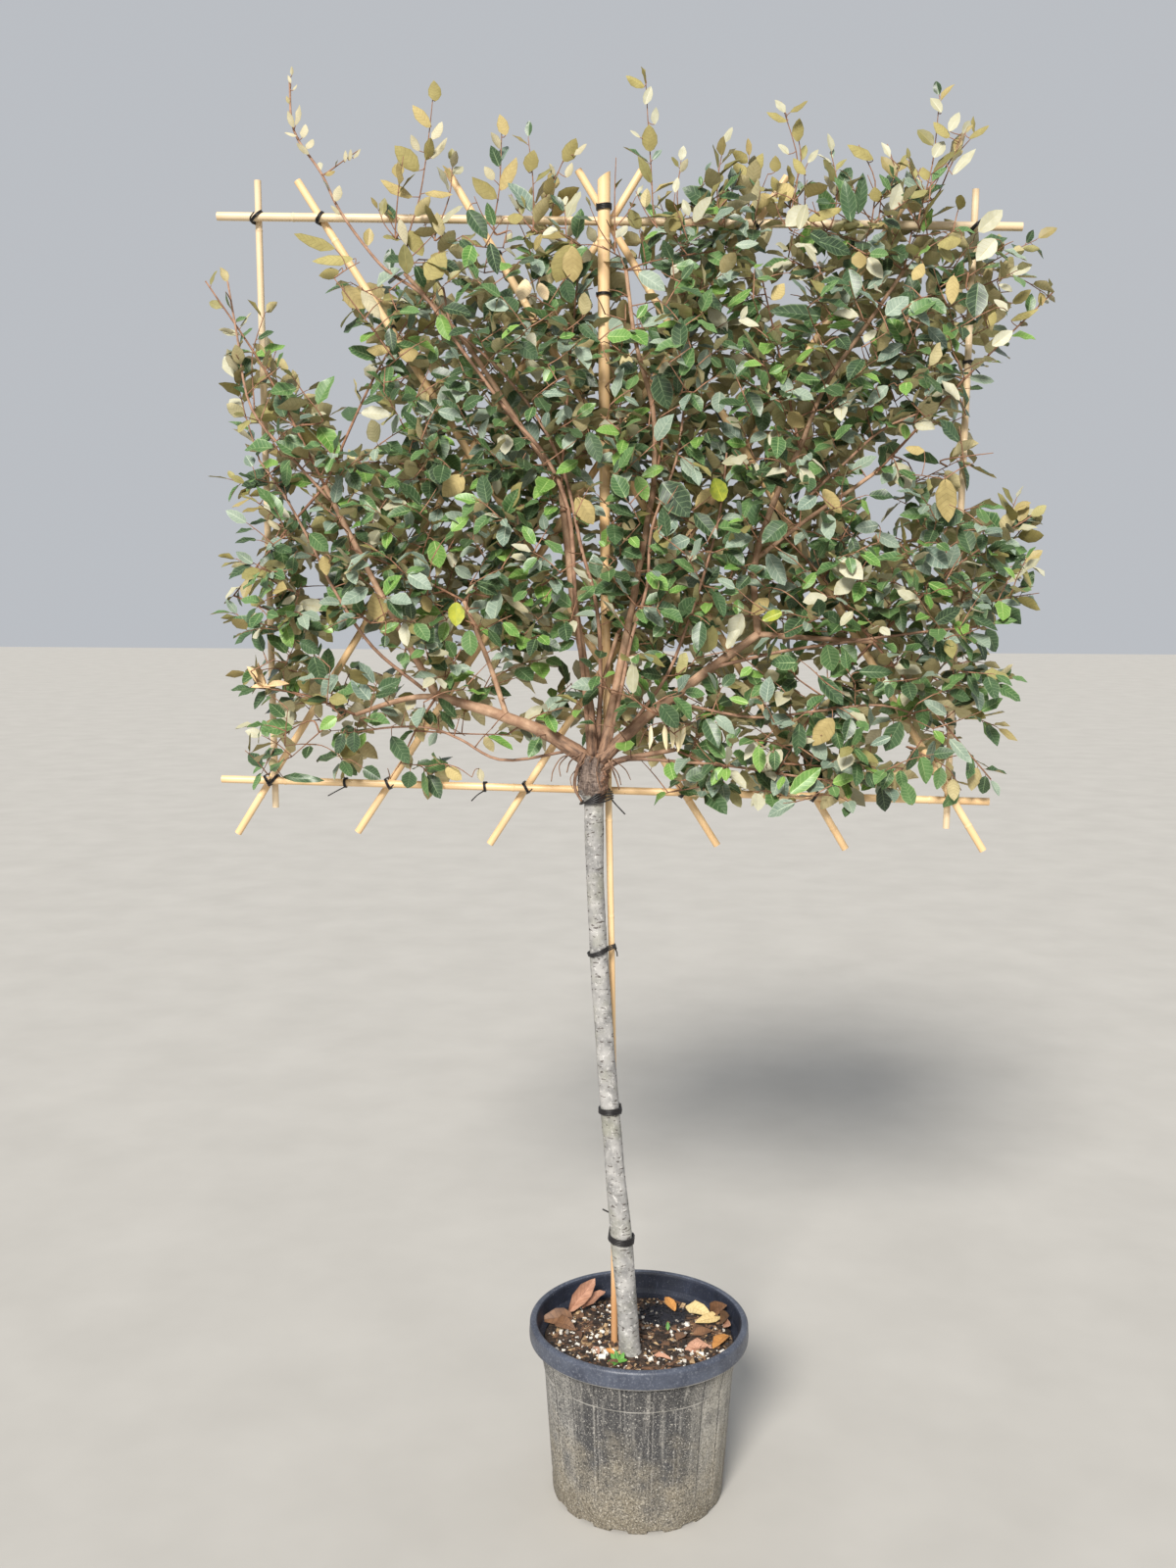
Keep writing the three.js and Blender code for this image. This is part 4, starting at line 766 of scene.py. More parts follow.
def metres(values):
    """Millimetres as metres."""
    return np.array(values, float) * MM


def hue(red, green, blue):
    """A colour that is given from 0 to 255 as a screen shows it, as linear light."""
    linear = (((c / 255 + 0.055) / 1.055) ** 2.4 if c > 10 else c / 3294.6 for c in (red, green, blue))
    return (*linear, 1.0)


def chances(seed):
    """Seeded random numbers between 0 and 1, by the rule of the part's source."""
    state = seed
    while True:
        state = (1664525 * state + 1013904223) % 4294967296
        yield state / 4294967296


def unit(vectors):
    """The vectors, brought to a length of 1."""
    return vectors / np.linalg.norm(vectors, axis=-1, keepdims=True)


def run_of(path):
    """How far along a path each of its points is."""
    return np.concatenate([[0], np.cumsum(np.linalg.norm(np.diff(path, axis=0), axis=1))])


def smooth_path(points, steps):
    """A centripetal Catmull-Rom path through the points, with that many steps from each to the next."""
    points = np.array(points, float)
    whole = np.vstack([2 * points[0] - points[1], points, 2 * points[-1] - points[-2]])
    path = []
    for i in range(len(points) - 1):
        before, start, end, after = whole[i : i + 4]
        pairs = zip(whole[i : i + 3], whole[i + 1 : i + 4])
        first, span, last = (math.sqrt(np.linalg.norm(b - a)) for a, b in pairs)
        leave = ((start - before) / first - (end - before) / (first + span) + (end - start) / span) * span
        arrive = ((end - start) / span - (after - start) / (span + last) + (after - end) / last) * span
        t = np.arange(steps)[:, None] / steps
        path.append(
            (2 * t**3 - 3 * t**2 + 1) * start
            + (t**3 - 2 * t**2 + t) * leave
            + (3 * t**2 - 2 * t**3) * end
            + (t**3 - t**2) * arrive
        )
    return np.vstack([*path, points[-1:]])


def directions(path):
    """The directions along, across and round a limb at each point of its path."""
    along = unit(np.gradient(path, axis=0))
    lean = BACK if abs(along[0] @ BACK) < 0.9 else UP
    round_ = unit(lean - (along @ lean)[:, None] * along)
    return along, np.cross(along, round_), round_


class Pile:
    """Points and faces that are gathered into one mesh. Grain is each point's place on its limb, as if
    the limb stood upright, for patterns that run along it."""

    def __init__(self):
        self.points = []
        self.grain = []
        self.faces = {3: [], 4: []}
        self.looks = {3: [], 4: []}
        self.count = 0

    def add(self, points, faces, look=0, grain=None):
        """Adds points and groups of faces, with one look for all or a look for each."""
        points = np.asarray(points, float).reshape(-1, 3)
        self.points.append(points)
        self.grain.append(points if grain is None else grain)
        for group in faces:
            group = np.asarray(group, int)
            size = group.shape[-1]
            group = group.reshape(-1, size)
            self.faces[size].append(group + self.count)
            self.looks[size].append(np.broadcast_to(look, len(group)))
        self.count += len(points)

    def add_tube(self, path, radii, sides, relief=None, look=0):
        """A closed limb along a path, all in metres. relief gives how far its surface stands out."""
        _, across, round_ = directions(path)
        steps = len(path)
        turn = np.linspace(0, 2 * math.pi, sides, endpoint=False)
        run = run_of(path)
        radii = np.broadcast_to(np.asarray(radii, float), (steps,))
        reach = np.repeat(radii[:, None], sides, axis=1)
        if relief is not None:
            reach = reach + relief(path, turn, run, radii)
        facing = np.cos(turn)[None, :, None] * across[:, None] + np.sin(turn)[None, :, None] * round_[:, None]
        ring = path[:, None] + reach[..., None] * facing
        mean = float(radii.mean())
        grain = np.stack(
            np.broadcast_arrays(mean * np.cos(turn)[None], mean * np.sin(turn)[None], run[:, None]), axis=-1
        )
        points = np.vstack([ring.reshape(-1, 3), path[:1], path[-1:]])
        grain = np.vstack([grain.reshape(-1, 3), [[0, 0, 0]], [[0, 0, run[-1]]]])
        j = np.arange(sides)
        k = (j + 1) % sides
        i = np.arange(steps - 1)[:, None] * sides
        sides_of = np.stack([i + j, i + sides + j, i + sides + k, i + k], axis=-1)
        top = (steps - 1) * sides
        low, high = steps * sides, steps * sides + 1
        caps = np.vstack(
            [
                np.stack([np.full(sides, low), j, k], axis=-1),
                np.stack([np.full(sides, high), top + k, top + j], axis=-1),
            ]
        )
        self.add(points, [sides_of, caps], look, grain)

    def piece(self, name, looks, replaces=(), crease=None):
        """The mesh object, which rides on the part's body."""
        mesh = bpy.data.meshes.new(name)
        points = np.vstack(self.points)
        mesh.vertices.add(len(points))
        mesh.vertices.foreach_set("co", points.astype(np.float32).ravel())
        quads = np.vstack(self.faces[4]) if self.faces[4] else np.zeros((0, 4), int)
        threes = np.vstack(self.faces[3]) if self.faces[3] else np.zeros((0, 3), int)
        corners = np.concatenate([quads.ravel(), threes.ravel()])
        sizes = np.concatenate([np.full(len(quads), 4), np.full(len(threes), 3)])
        worn = np.concatenate([*self.looks[4], *self.looks[3]])
        mesh.loops.add(len(corners))
        mesh.loops.foreach_set("vertex_index", corners.astype(np.int32))
        mesh.polygons.add(len(sizes))
        mesh.polygons.foreach_set("loop_start", np.concatenate([[0], np.cumsum(sizes)[:-1]]).astype(np.int32))
        mesh.polygons.foreach_set("material_index", worn.astype(np.int32))
        mesh.polygons.foreach_set("use_smooth", np.full(len(sizes), crease != 0))
        mesh.update(calc_edges=True)
        grain = mesh.attributes.new("grain", "FLOAT_VECTOR", "POINT")
        grain.data.foreach_set("vector", np.vstack(self.grain).astype(np.float32).ravel())
        if crease:
            mesh.set_sharp_from_angle(angle=math.radians(crease))
        for look in looks:
            mesh.materials.append(look)
        made = bpy.data.objects.new(name, mesh)
        bpy.context.scene.collection.objects.link(made)
        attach(made, "root")
        if replaces:
            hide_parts(*replaces)
        return made


class Look:
    """A Principled material and the nodes behind it. A colour is three numbers from 0 to 255, as a screen
    shows it, or four of linear light, or a node's output."""

    def __init__(self, name, colour=(0.5, 0.5, 0.5, 1.0), roughness=0.5, **sockets):
        self.material = bpy.data.materials.new(name)
        self.material.use_nodes = True
        self.tree = self.material.node_tree
        self.shader = self.tree.nodes["Principled BSDF"]
        self.feed(self.shader.inputs["Base Color"], colour)
        self.shader.inputs["Roughness"].default_value = roughness
        for socket, value in sockets.items():
            self.shader.inputs[socket.replace("_", " ")].default_value = value

    def feed(self, socket, value):
        """Links an output to a socket, or sets the socket to a value."""
        if isinstance(value, bpy.types.NodeSocket):
            self.tree.links.new(value, socket)
        elif socket.type == "RGBA" and len(value) == 3:
            socket.default_value = hue(*value)
        else:
            socket.default_value = value

    def node(self, kind, inputs, **settings):
        """A new node, with its inputs fed and its settings made."""
        made = self.tree.nodes.new(kind)
        for name, value in settings.items():
            setattr(made, name, value)
        for name, value in inputs.items():
            self.feed(made.inputs[name], value)
        return made

    def place(self, grain=False, stretch=(1, 1, 1)):
        """The place on the object, or along the limb's grain, stretched before a pattern reads it."""
        if grain:
            found = self.node("ShaderNodeAttribute", {}, attribute_name="grain").outputs["Vector"]
        else:
            found = self.node("ShaderNodeTexCoord", {}).outputs["Object"]
        if stretch == (1, 1, 1):
            return found
        return self.node("ShaderNodeVectorMath", {0: found, 1: stretch}, operation="MULTIPLY").outputs[0]

    def noise(self, scale, place, detail=3.0, roughness=0.55, distortion=0.0):
        """A cloudy pattern, mostly near a half. Detail and roughness make it finer."""
        inputs = {"Vector": place, "Scale": scale, "Detail": detail, "Roughness": roughness}
        inputs["Distortion"] = distortion
        return self.node("ShaderNodeTexNoise", inputs).outputs["Fac"]

    def step(self, value, low, high, to_low=0.0, to_high=1.0):
        """A value brought from one range, where it stops at both ends, to another."""
        inputs = {"Value": value, "From Min": low, "From Max": high, "To Min": to_low, "To Max": to_high}
        return self.node("ShaderNodeMapRange", inputs).outputs["Result"]

    def mix(self, share, one, other):
        """One colour, with a share of another in it."""
        inputs = {0: share, 6: one, 7: other}
        return self.node("ShaderNodeMix", inputs, data_type="RGBA").outputs[2]

    def cover(self, colour, shade, value, low, high, share=1.0):
        """The colour with a shade over it, none of it where the value is low and its share where it is
        high."""
        return self.mix(self.step(value, low, high, 0.0, share), colour, shade)

    def math(self, operation, one, other=0.0):
        """The result of an operation on one value or two."""
        return self.node("ShaderNodeMath", {0: one, 1: other}, operation=operation).outputs[0]

    def apart(self, value, middle):
        """How far a value is from a middle one."""
        return self.math("ABSOLUTE", self.math("SUBTRACT", value, middle))

    def distance(self, place, centre):
        """How far a place is from a centre that is given in millimetres."""
        inputs = {0: place, 1: metres(centre)}
        return self.node("ShaderNodeVectorMath", inputs, operation="DISTANCE").outputs["Value"]

    def height(self):
        """The height above the ground, in metres."""
        return self.node("ShaderNodeSeparateXYZ", {0: self.place()}).outputs["Z"]

    def paint(self, colour=None, roughness=None, bumps=(), bump_distance=0.001):
        """The finished material. Each bump is a height and its strength."""
        if colour is not None:
            self.feed(self.shader.inputs["Base Color"], colour)
        if roughness is not None:
            self.feed(self.shader.inputs["Roughness"], roughness)
        normal = None
        for height, strength in bumps:
            inputs = {"Height": height, "Strength": strength, "Distance": bump_distance}
            if normal is not None:
                inputs["Normal"] = normal
            normal = self.node("ShaderNodeBump", inputs).outputs["Normal"]
        if normal is not None:
            self.feed(self.shader.inputs["Normal"], normal)
        return self.material


def pot_body_look():
    """Weathered plastic: grey dust in fine grains, a tone of its own for each panel, mud low down and pale
    worn lines under the rim. Painted shade darkens the middle of the front, painted light brightens the
    right side, and a painted highlight runs along the band's ledge."""
    look = Look("pot_plastic", roughness=0.7)
    place = look.place()
    x, y, height = look.node("ShaderNodeSeparateXYZ", {0: place}).outputs
    grains = look.noise(200.0, place, 6.0, 0.74)
    specks = look.noise(310.0, place, 4.0, 0.68)
    patches = look.noise(15.0, place, 4.0, 0.6)
    streaks = look.noise(70.0, look.place(stretch=(1, 1, 0.05)), 3.0, 0.65)
    turn = look.math("MULTIPLY", look.math("ARCTAN2", y, x), PANEL_COUNT / (2 * math.pi))
    panel = look.node("ShaderNodeTexWhiteNoise", {"W": look.math("FLOOR", turn)}, noise_dimensions="1D")
    dust_and_painted_light = look.cover((78, 78, 78), (162, 159, 153), grains, 0.38, 0.62)
    # Painted shade: the panels' tone is raised across the middle of the front, so more panels are dark there
    # and the sides read lighter.
    middle = look.step(look.apart(x, 0.03), 0.16, 0.07, -0.4, 0.5)
    tone = look.math("ADD", panel.outputs["Value"], middle)
    dust_and_painted_light = look.cover(dust_and_painted_light, (54, 54, 56), tone, 0.35, 0.8, 0.85)
    # Painted light: the right side is lighter.
    dust_and_painted_light = look.cover(dust_and_painted_light, (188, 182, 168), x, 0.09, 0.16, 0.5)
    dust_and_painted_light = look.cover(dust_and_painted_light, (184, 180, 172), streaks, 0.52, 0.74, 0.45)
    dust_and_painted_light = look.cover(dust_and_painted_light, (44, 44, 46), streaks, 0.46, 0.3, 0.5)
    across = look.apart(look.math("FRACT", turn), 0.5)
    dust_and_painted_light = look.cover(dust_and_painted_light, (40, 40, 42), across, 0.45, 0.48, 0.6)
    beside = look.step(look.apart(across, 0.42), 0.035, 0.01, 0.0, 0.4)
    beside = look.math("MULTIPLY", beside, look.step(patches, 0.42, 0.6))
    dust_and_painted_light = look.mix(beside, dust_and_painted_light, (176, 172, 166))
    dust_and_painted_light = look.cover(dust_and_painted_light, (60, 61, 65), patches, 0.5, 0.62, 0.4)
    muddy = look.cover((94, 88, 77), (168, 159, 141), grains, 0.38, 0.62)
    mud_edge = look.math("ADD", height, look.step(patches, 0.3, 0.7, -0.08, 0.08))
    colour = look.cover(dust_and_painted_light, muddy, mud_edge, 0.19, 0.02)
    colour = look.cover(colour, (84, 76, 62), mud_edge, 0.07, 0.01, 0.45)
    colour = look.cover(colour, (38, 37, 37), specks, 0.555, 0.625, 0.85)
    colour = look.cover(colour, (216, 211, 201), specks, 0.42, 0.35, 0.6)
    rim = look.cover((54, 59, 73), (82, 88, 102), patches, 0.35, 0.65)
    rim = look.cover(rim, (126, 130, 140), grains, 0.52, 0.7, 0.75)
    neck = NECK_HEIGHT * MM
    colour = look.cover(colour, rim, height, neck - 0.001, neck + 0.0015)
    worn = look.step(specks, 0.35, 0.6, 0.45, 1.0)
    worn = look.math("MULTIPLY", worn, look.step(patches, 0.36, 0.56, 0.35, 1.0))
    # Pale broken lines: under the rim, worn plastic; at the band, a painted highlight along its ledge.
    for edge, reach, share in ((neck + 0.001, 0.0028, 1.0), (neck - BAND_DEPTH * MM, 0.0016, 0.7)):
        near = look.step(look.apart(height, edge), reach, reach / 3, 0.0, share)
        colour = look.mix(look.math("MULTIPLY", near, worn), colour, (190, 186, 178))
    rough = look.step(height, neck - 0.001, neck + 0.004, 0.75, 0.4)
    return look.paint(colour, rough, [(grains, 0.5), (specks, 0.2)])


def pot_inside_look():
    """The pot's own navy plastic inside, clean, with specks and upright scratches, and darker than at the rim
    as painted shade.
    """
    look = Look("pot_inside_navy_painted_shade", roughness=0.62)
    place = look.place()
    patches = look.noise(22.0, place, 4.0, 0.6)
    specks = look.noise(420.0, place, 3.0, 0.7)
    scratches = look.noise(160.0, look.place(stretch=(1, 1, 0.1)), 3.0, 0.6)
    # Painted shade: this navy is darker than the same plastic at the rim.
    colour = look.cover((24, 29, 42), (36, 42, 58), patches, 0.35, 0.65)
    colour = look.cover(colour, (150, 152, 158), specks, 0.62, 0.7, 0.5)
    colour = look.cover(colour, (80, 88, 108), scratches, 0.6, 0.75, 0.4)
    return look.paint(colour, None, [(specks, 0.15)])


def soil_look(name, dark, light, scale):
    """Crumbly mix, almost black under the gravel."""
    look = Look(name, roughness=0.95)
    place = look.place()
    grains = look.noise(scale, place, 5.0, 0.75)
    patches = look.noise(24.0, place, 3.0)
    colour = look.cover(dark, light, grains, 0.38, 0.68)
    colour = look.cover(colour, dark, patches, 0.45, 0.7, 0.7)
    reach = GRAVEL_RADIUS * MM
    offset = look.distance(place, (*GRAVEL_PLACE, SOIL_LEVEL))
    colour = look.cover(colour, (30, 31, 40), offset, reach, 0.8 * reach)
    return look.paint(colour, None, [(grains, 0.8)], 0.002)


def bark_look():
    """Smooth silvery bark with pale flecks and dark lenticels, turning fibrous at the knob, where one lobe
    is grey and the other reddish brown."""
    look = Look("bark_grey", roughness=0.72)
    place = look.place()
    x, _, height = look.node("ShaderNodeSeparateXYZ", {0: place}).outputs
    broad = look.noise(30.0, place, 4.0, 0.6)
    fine = look.noise(420.0, place, 4.0, 0.75)
    flecks = look.noise(120.0, place, 5.0, 0.75, 0.6)
    dashes = look.noise(82.0, look.place(stretch=(1, 1, 2.8)), 2.0, 0.5)
    scar = look.step(look.apart(height, SCAR_HEIGHT * MM), 0.02, 0.0, 0.0, 0.09)
    dashes = look.math("ADD", dashes, scar)
    grey = look.cover((130, 129, 128), (177, 175, 172), broad, 0.35, 0.65)
    grey = look.cover(grey, (222, 220, 216), flecks, 0.56, 0.66, 0.8)
    grey = look.cover(grey, (142, 142, 122), look.noise(17.0, place), 0.48, 0.7, 0.5)
    grey = look.cover(grey, (78, 71, 67), dashes, 0.605, 0.655, 0.9)
    grey = look.cover(grey, (100, 94, 88), fine, 0.6, 0.76, 0.6)
    fibre = look.noise(150.0, look.place(stretch=(1, 1, 0.22)), 5.0, 0.75, 0.8)
    dark_lobe = look.cover((62, 50, 46), (142, 124, 112), fibre, 0.36, 0.66)
    red_lobe = look.cover((78, 52, 41), (168, 128, 102), fibre, 0.36, 0.66)
    side = look.math("ADD", x, look.step(flecks, 0.3, 0.7, -0.016, 0.016))
    rough_bark = look.cover(dark_lobe, red_lobe, side, -0.086, -0.072)
    edge = look.math("ADD", height, look.step(broad, 0.3, 0.7, -0.02, 0.02))
    knob = KNOB_FOOT * MM
    colour = look.cover(grey, rough_bark, edge, knob - 0.002, knob + 0.012)
    return look.paint(colour, None, [(fine, 0.4), (dashes, -0.35), (flecks, 0.2), (fibre, 0.3)], 0.0012)


def bough_look(name, pale, dark, scale=1.0):
    """Smooth brown bark with streaks along the grain and pale spots, fibrous near the knob."""
    look = Look(name, roughness=0.75)
    place = look.place(grain=True)
    along = look.place(grain=True, stretch=(1, 1, 0.2))
    broad = look.noise(30.0 * scale, place, 4.0, 0.6)
    streaks = look.noise(160.0 * scale, along, 4.0, 0.65)
    spots = look.noise(420.0 * scale, place, 3.0, 0.6)
    colour = look.cover(pale, dark, broad, 0.35, 0.65)
    colour = look.cover(colour, dark, streaks, 0.5, 0.7, 0.6)
    colour = look.cover(colour, (196, 184, 166), spots, 0.62, 0.74, 0.8)
    offset = look.distance(look.place(), KNOB_PLACE)
    fibrous = look.cover((74, 54, 43), (156, 122, 98), streaks, 0.38, 0.62)
    colour = look.cover(colour, fibrous, offset, 0.16, 0.05)
    return look.paint(colour, None, [(streaks, 0.4), (spots, 0.2)])


def cane_look(name, pale, warm, dark):
    """Waxy bamboo: long fine streaks, a warmer tone in patches, dark marks, and brown near the soil."""
    look = Look(name, roughness=0.42, Coat_Weight=0.15, Coat_Roughness=0.3)
    streaks = look.noise(300.0, look.place(grain=True, stretch=(1, 1, 0.02)), 4.0, 0.6)
    patches = look.noise(9.0, look.place(grain=True, stretch=(1, 1, 0.6)), 3.0)
    marks = look.noise(90.0, look.place(grain=True, stretch=(1, 1, 0.5)), 5.0, 0.7, 1.0)
    colour = look.cover(pale, warm, patches, 0.35, 0.65)
    colour = look.cover(colour, warm, streaks, 0.45, 0.72, 0.55)
    colour = look.cover(colour, dark, marks, 0.66, 0.74, 0.75)
    colour = look.cover(colour, (184, 128, 84), look.height(), 0.62, 0.4, 0.75)
    rough = look.step(streaks, 0.3, 0.7, 0.36, 0.52)
    return look.paint(colour, rough, [(streaks, 0.15)])


def plain_look(name, pale, dark, roughness, scale=60.0, bump=0.2):
    """One colour that wanders a little."""
    look = Look(name, roughness=roughness)
    patches = look.noise(scale, look.place(), 3.0)
    fine = look.noise(scale * 9, look.place(), 2.0)
    colour = look.cover(pale, dark, patches, 0.35, 0.65)
    return look.paint(colour, None, [(fine, bump)], 0.0006)


def wire_look():
    """Black wire in a dull coat."""
    look = Look("wire_black", (34, 32, 33), 0.45)
    return look.paint(None, None, [(look.noise(600.0, look.place(), 2.0), 0.2)])


def leaf_looks(name, upper_pale, upper_dark, under_pale, under_dark, rib, gloss):
    """The looks of a leaf's upper side, of its underside and of its midrib. The grain holds the place
    along the leaf, the place across it and the leaf's own tone."""
    looks = []
    under_vein = (*(0.62 * c for c in hue(*under_dark)[:3]), 1.0)
    sides = [
        ("upper", upper_pale, upper_dark, rib, gloss, 0.5, 0.6),
        ("under", under_pale, under_dark, under_vein, 0.7, 0.35, 0.55),
    ]
    for side, pale, dark, vein, rough, shine, strength in sides:
        look = Look(f"{name}_{side}", roughness=rough, Specular_IOR_Level=shine)
        parts = look.node("ShaderNodeSeparateXYZ", {0: look.place(grain=True)}).outputs
        edge = look.math("ABSOLUTE", parts["Y"])
        slant = look.math("SUBTRACT", parts["X"], look.math("MULTIPLY", edge, 0.17))
        ripple = look.math("PINGPONG", look.math("MULTIPLY", slant, 7.5), 0.5)
        patches = look.noise(70.0, look.place(), 3.0, 0.6)
        scales = look.noise(900.0, look.place(), 3.0, 0.7)
        tone = look.math("ADD", parts["Z"], look.step(patches, 0.3, 0.7, -0.3, 0.3))
        colour = look.cover(pale, dark, tone, 0.0, 1.0)
        colour = look.cover(colour, vein, scales, 0.52, 0.72, 0.35)
        colour = look.cover(colour, vein, ripple, 0.4, 0.5, strength)
        colour = look.cover(colour, vein, edge, 0.82, 1.0, 0.5)
        looks.append(look.paint(colour, None, [(ripple, -0.5), (scales, 0.15)], 0.0008))
    looks.append(plain_look(name + "_rib", rib, upper_pale, gloss, 45.0))
    return looks


def wall_radius(height):
    """The radius of the pot's outer wall at a height."""
    return FOOT_RADIUS + (NECK_RADIUS - FOOT_RADIUS) * height / NECK_HEIGHT


def pot_profile():
    """The radius and height of the pot's points, from the middle of its underside up its outer wall,
    round its rim and down inside to the middle of its floor."""
    band = NECK_HEIGHT - BAND_DEPTH
    heights = [NOTCH_HEIGHT - 0.5, NOTCH_HEIGHT + 0.5, 14, 20, *np.linspace(PANEL_FOOT - 4, band - 3, 26)]
    profile = FOOT_PROFILE + [(wall_radius(height), height) for height in heights]
    profile.append((wall_radius(band) + 0.9, band + 1))
    for share in np.linspace(0.06, 0.97, 7):
        height = NECK_HEIGHT - BAND_DEPTH * (1 - share)
        profile.append((wall_radius(height) + 0.8 + COLLAR_FLARE * share, height))
    profile.append((NECK_RADIUS + COLLAR_FLARE + 2, NECK_HEIGHT - 1.4))
    profile += [(RIM_RADIUS + radius, NECK_HEIGHT + height) for radius, height in RIM_PROFILE]
    crest = POT_HEIGHT - RIM_CREST_RADIUS
    centre = RIM_RADIUS - RIM_LEAN - RIM_CREST_RADIUS
    for turn in np.radians(np.arange(-10, 191, 12)):
        out, up = RIM_CREST_RADIUS * math.cos(turn), RIM_CREST_RADIUS * math.sin(turn)
        profile.append((centre + out, crest + up))
    inside = centre - RIM_CREST_RADIUS
    neck = NECK_RADIUS - POT_WALL
    profile += [(inside - 1, crest - 9), (inside - 4, NECK_HEIGHT + 4), (neck, NECK_HEIGHT - 4)]
    profile += [(neck - 2, SOIL_LEVEL - 20), (FOOT_RADIUS - POT_WALL, POT_FLOOR), (0, POT_FLOOR)]
    return np.array(profile)


def make_pot():
    """The pot, turned from its profile, with shallow upright panels and notches at its foot."""
    profile = pot_profile()
    turn = np.linspace(0, 2 * math.pi, POT_TURNS, endpoint=False)
    radius, height = (np.meshgrid(profile[:, i], turn)[0] for i in (0, 1))
    top_row = int(np.argmax(profile[:, 1]))
    outer = np.arange(len(profile)) < top_row
    panels = (height > PANEL_FOOT) & (height < NECK_HEIGHT - BAND_DEPTH) & outer
    wave = np.clip(3.5 * np.sin(PANEL_COUNT / 2 * turn), -1, 1)[:, None]
    radius = radius + np.where(panels, wave * PANEL_RELIEF / 2, 0)
    pitch = 2 * math.pi / NOTCH_COUNT
    apart = (turn[:, None] - NOTCH_START) % pitch
    apart = np.minimum(apart, pitch - apart) * FOOT_RADIUS
    notch_radius = FOOT_RADIUS - NOTCH_DEPTH
    notched = (apart < NOTCH_WIDTH / 2) & (height < NOTCH_HEIGHT) & (radius > notch_radius) & outer
    radius = np.where(notched, notch_radius, radius)
    height = np.where(notched & (height < 1), 0, height)
    points = np.stack([radius * np.cos(turn)[:, None], radius * np.sin(turn)[:, None], height], axis=-1)
    rows = len(profile)
    i = np.arange(POT_TURNS)[:, None] * rows
    k = (np.arange(POT_TURNS)[:, None] + 1) % POT_TURNS * rows
    j = np.arange(1, rows - 2)
    quads = np.stack([i + j, k + j, k + j + 1, i + j + 1], axis=-1)
    underside = np.stack([i[:, 0], k[:, 0] + 1, i[:, 0] + 1], axis=-1)
    floor = np.stack([i[:, 0] + rows - 1, i[:, 0] + rows - 2, k[:, 0] + rows - 2], axis=-1)
    pile = Pile()
    pile.add(points.reshape(-1, 3) * MM, [quads], np.tile((j > top_row + 3).astype(int), POT_TURNS))
    pile.add([], [np.vstack([underside, floor]) - pile.count])
    weld(pile.piece("pot_body", [pot_body_look(), pot_inside_look()], ["pot"], crease=POT_CREASE))


def weld(made):
    """Merges the points of a mesh that lie on each other."""
    mesh = bmesh.new()
    mesh.from_mesh(made.data)
    bmesh.ops.remove_doubles(mesh, verts=mesh.verts, dist=1e-6)
    mesh.to_mesh(made.data)
    mesh.free()


def soil_height(x, y):
    """The height of the soil's surface over a place, in metres, with its lumps."""
    edge = max(0.0, math.hypot(x, y) - SOIL_FLAT_RADIUS * MM) / (SOIL_EDGE_WIDTH * MM)
    back = min(1.0, max(0.0, y / (SOIL_BACK_REACH * MM)))
    drop = SOIL_EDGE_DROP * (edge + SOIL_BACK_DROP / SOIL_EDGE_DROP * back)
    lumps = noise.fractal(Vector((x * SOIL_LUMP_PACE, y * SOIL_LUMP_PACE, 3.1)), 0.9, 2.1, 4)
    return (SOIL_LEVEL - drop) * MM + lumps * SOIL_RELIEF * MM


def make_soil():
    """The filling of the pot, with a lumpy top."""
    top_edge = SOIL_LEVEL - SOIL_EDGE_DROP
    share = (top_edge - POT_FLOOR) / (NECK_HEIGHT - POT_FLOOR)
    rim = (FOOT_RADIUS + (NECK_RADIUS - FOOT_RADIUS) * share - POT_WALL - SOIL_WALL_GAP) * MM
    foot = (FOOT_RADIUS - POT_WALL - SOIL_WALL_GAP) * MM
    floor = (POT_FLOOR + 0.3) * MM
    turn = np.linspace(0, 2 * math.pi, SOIL_SIDES, endpoint=False)
    rings = [[(0.0, 0.0, floor)] * SOIL_SIDES]
    rings.append([(foot * math.cos(t), foot * math.sin(t), floor) for t in turn])
    for row in range(SOIL_ROWS):
        reach = rim * (1 - row / SOIL_ROWS)
        places = [(reach * math.cos(t), reach * math.sin(t)) for t in turn]
        rings.append([(x, y, soil_height(x, y)) for x, y in places])
    rings.append([(0.0, 0.0, soil_height(0, 0))] * SOIL_SIDES)
    j = np.arange(SOIL_SIDES)
    k = (j + 1) % SOIL_SIDES
    i = np.arange(len(rings) - 1)[:, None] * SOIL_SIDES
    pile = Pile()
    pile.add(rings, [np.stack([i + j, i + k, i + SOIL_SIDES + k, i + SOIL_SIDES + j], axis=-1)])
    look = soil_look("soil_mix", (38, 30, 26), (104, 84, 68), 150.0)
    weld(pile.piece("soil_bed", [look], ["soil"]))


def strewn_share(x, y, where):
    """The share of the chips that stay at a place, in millimetres, for each kind of strewing."""
    if where == "clumps":
        return 1.0 if x < CLUMP_EDGES[0] or y < CLUMP_EDGES[1] else CLUMP_STRAY_SHARE
    offset = math.hypot(x - GRAVEL_PLACE[0], y - GRAVEL_PLACE[1])
    stray = offset < GRAVEL_RADIUS if where == "off_gravel" else offset > GRAVEL_RADIUS
    return STRAY_SHARE if stray else 1.0


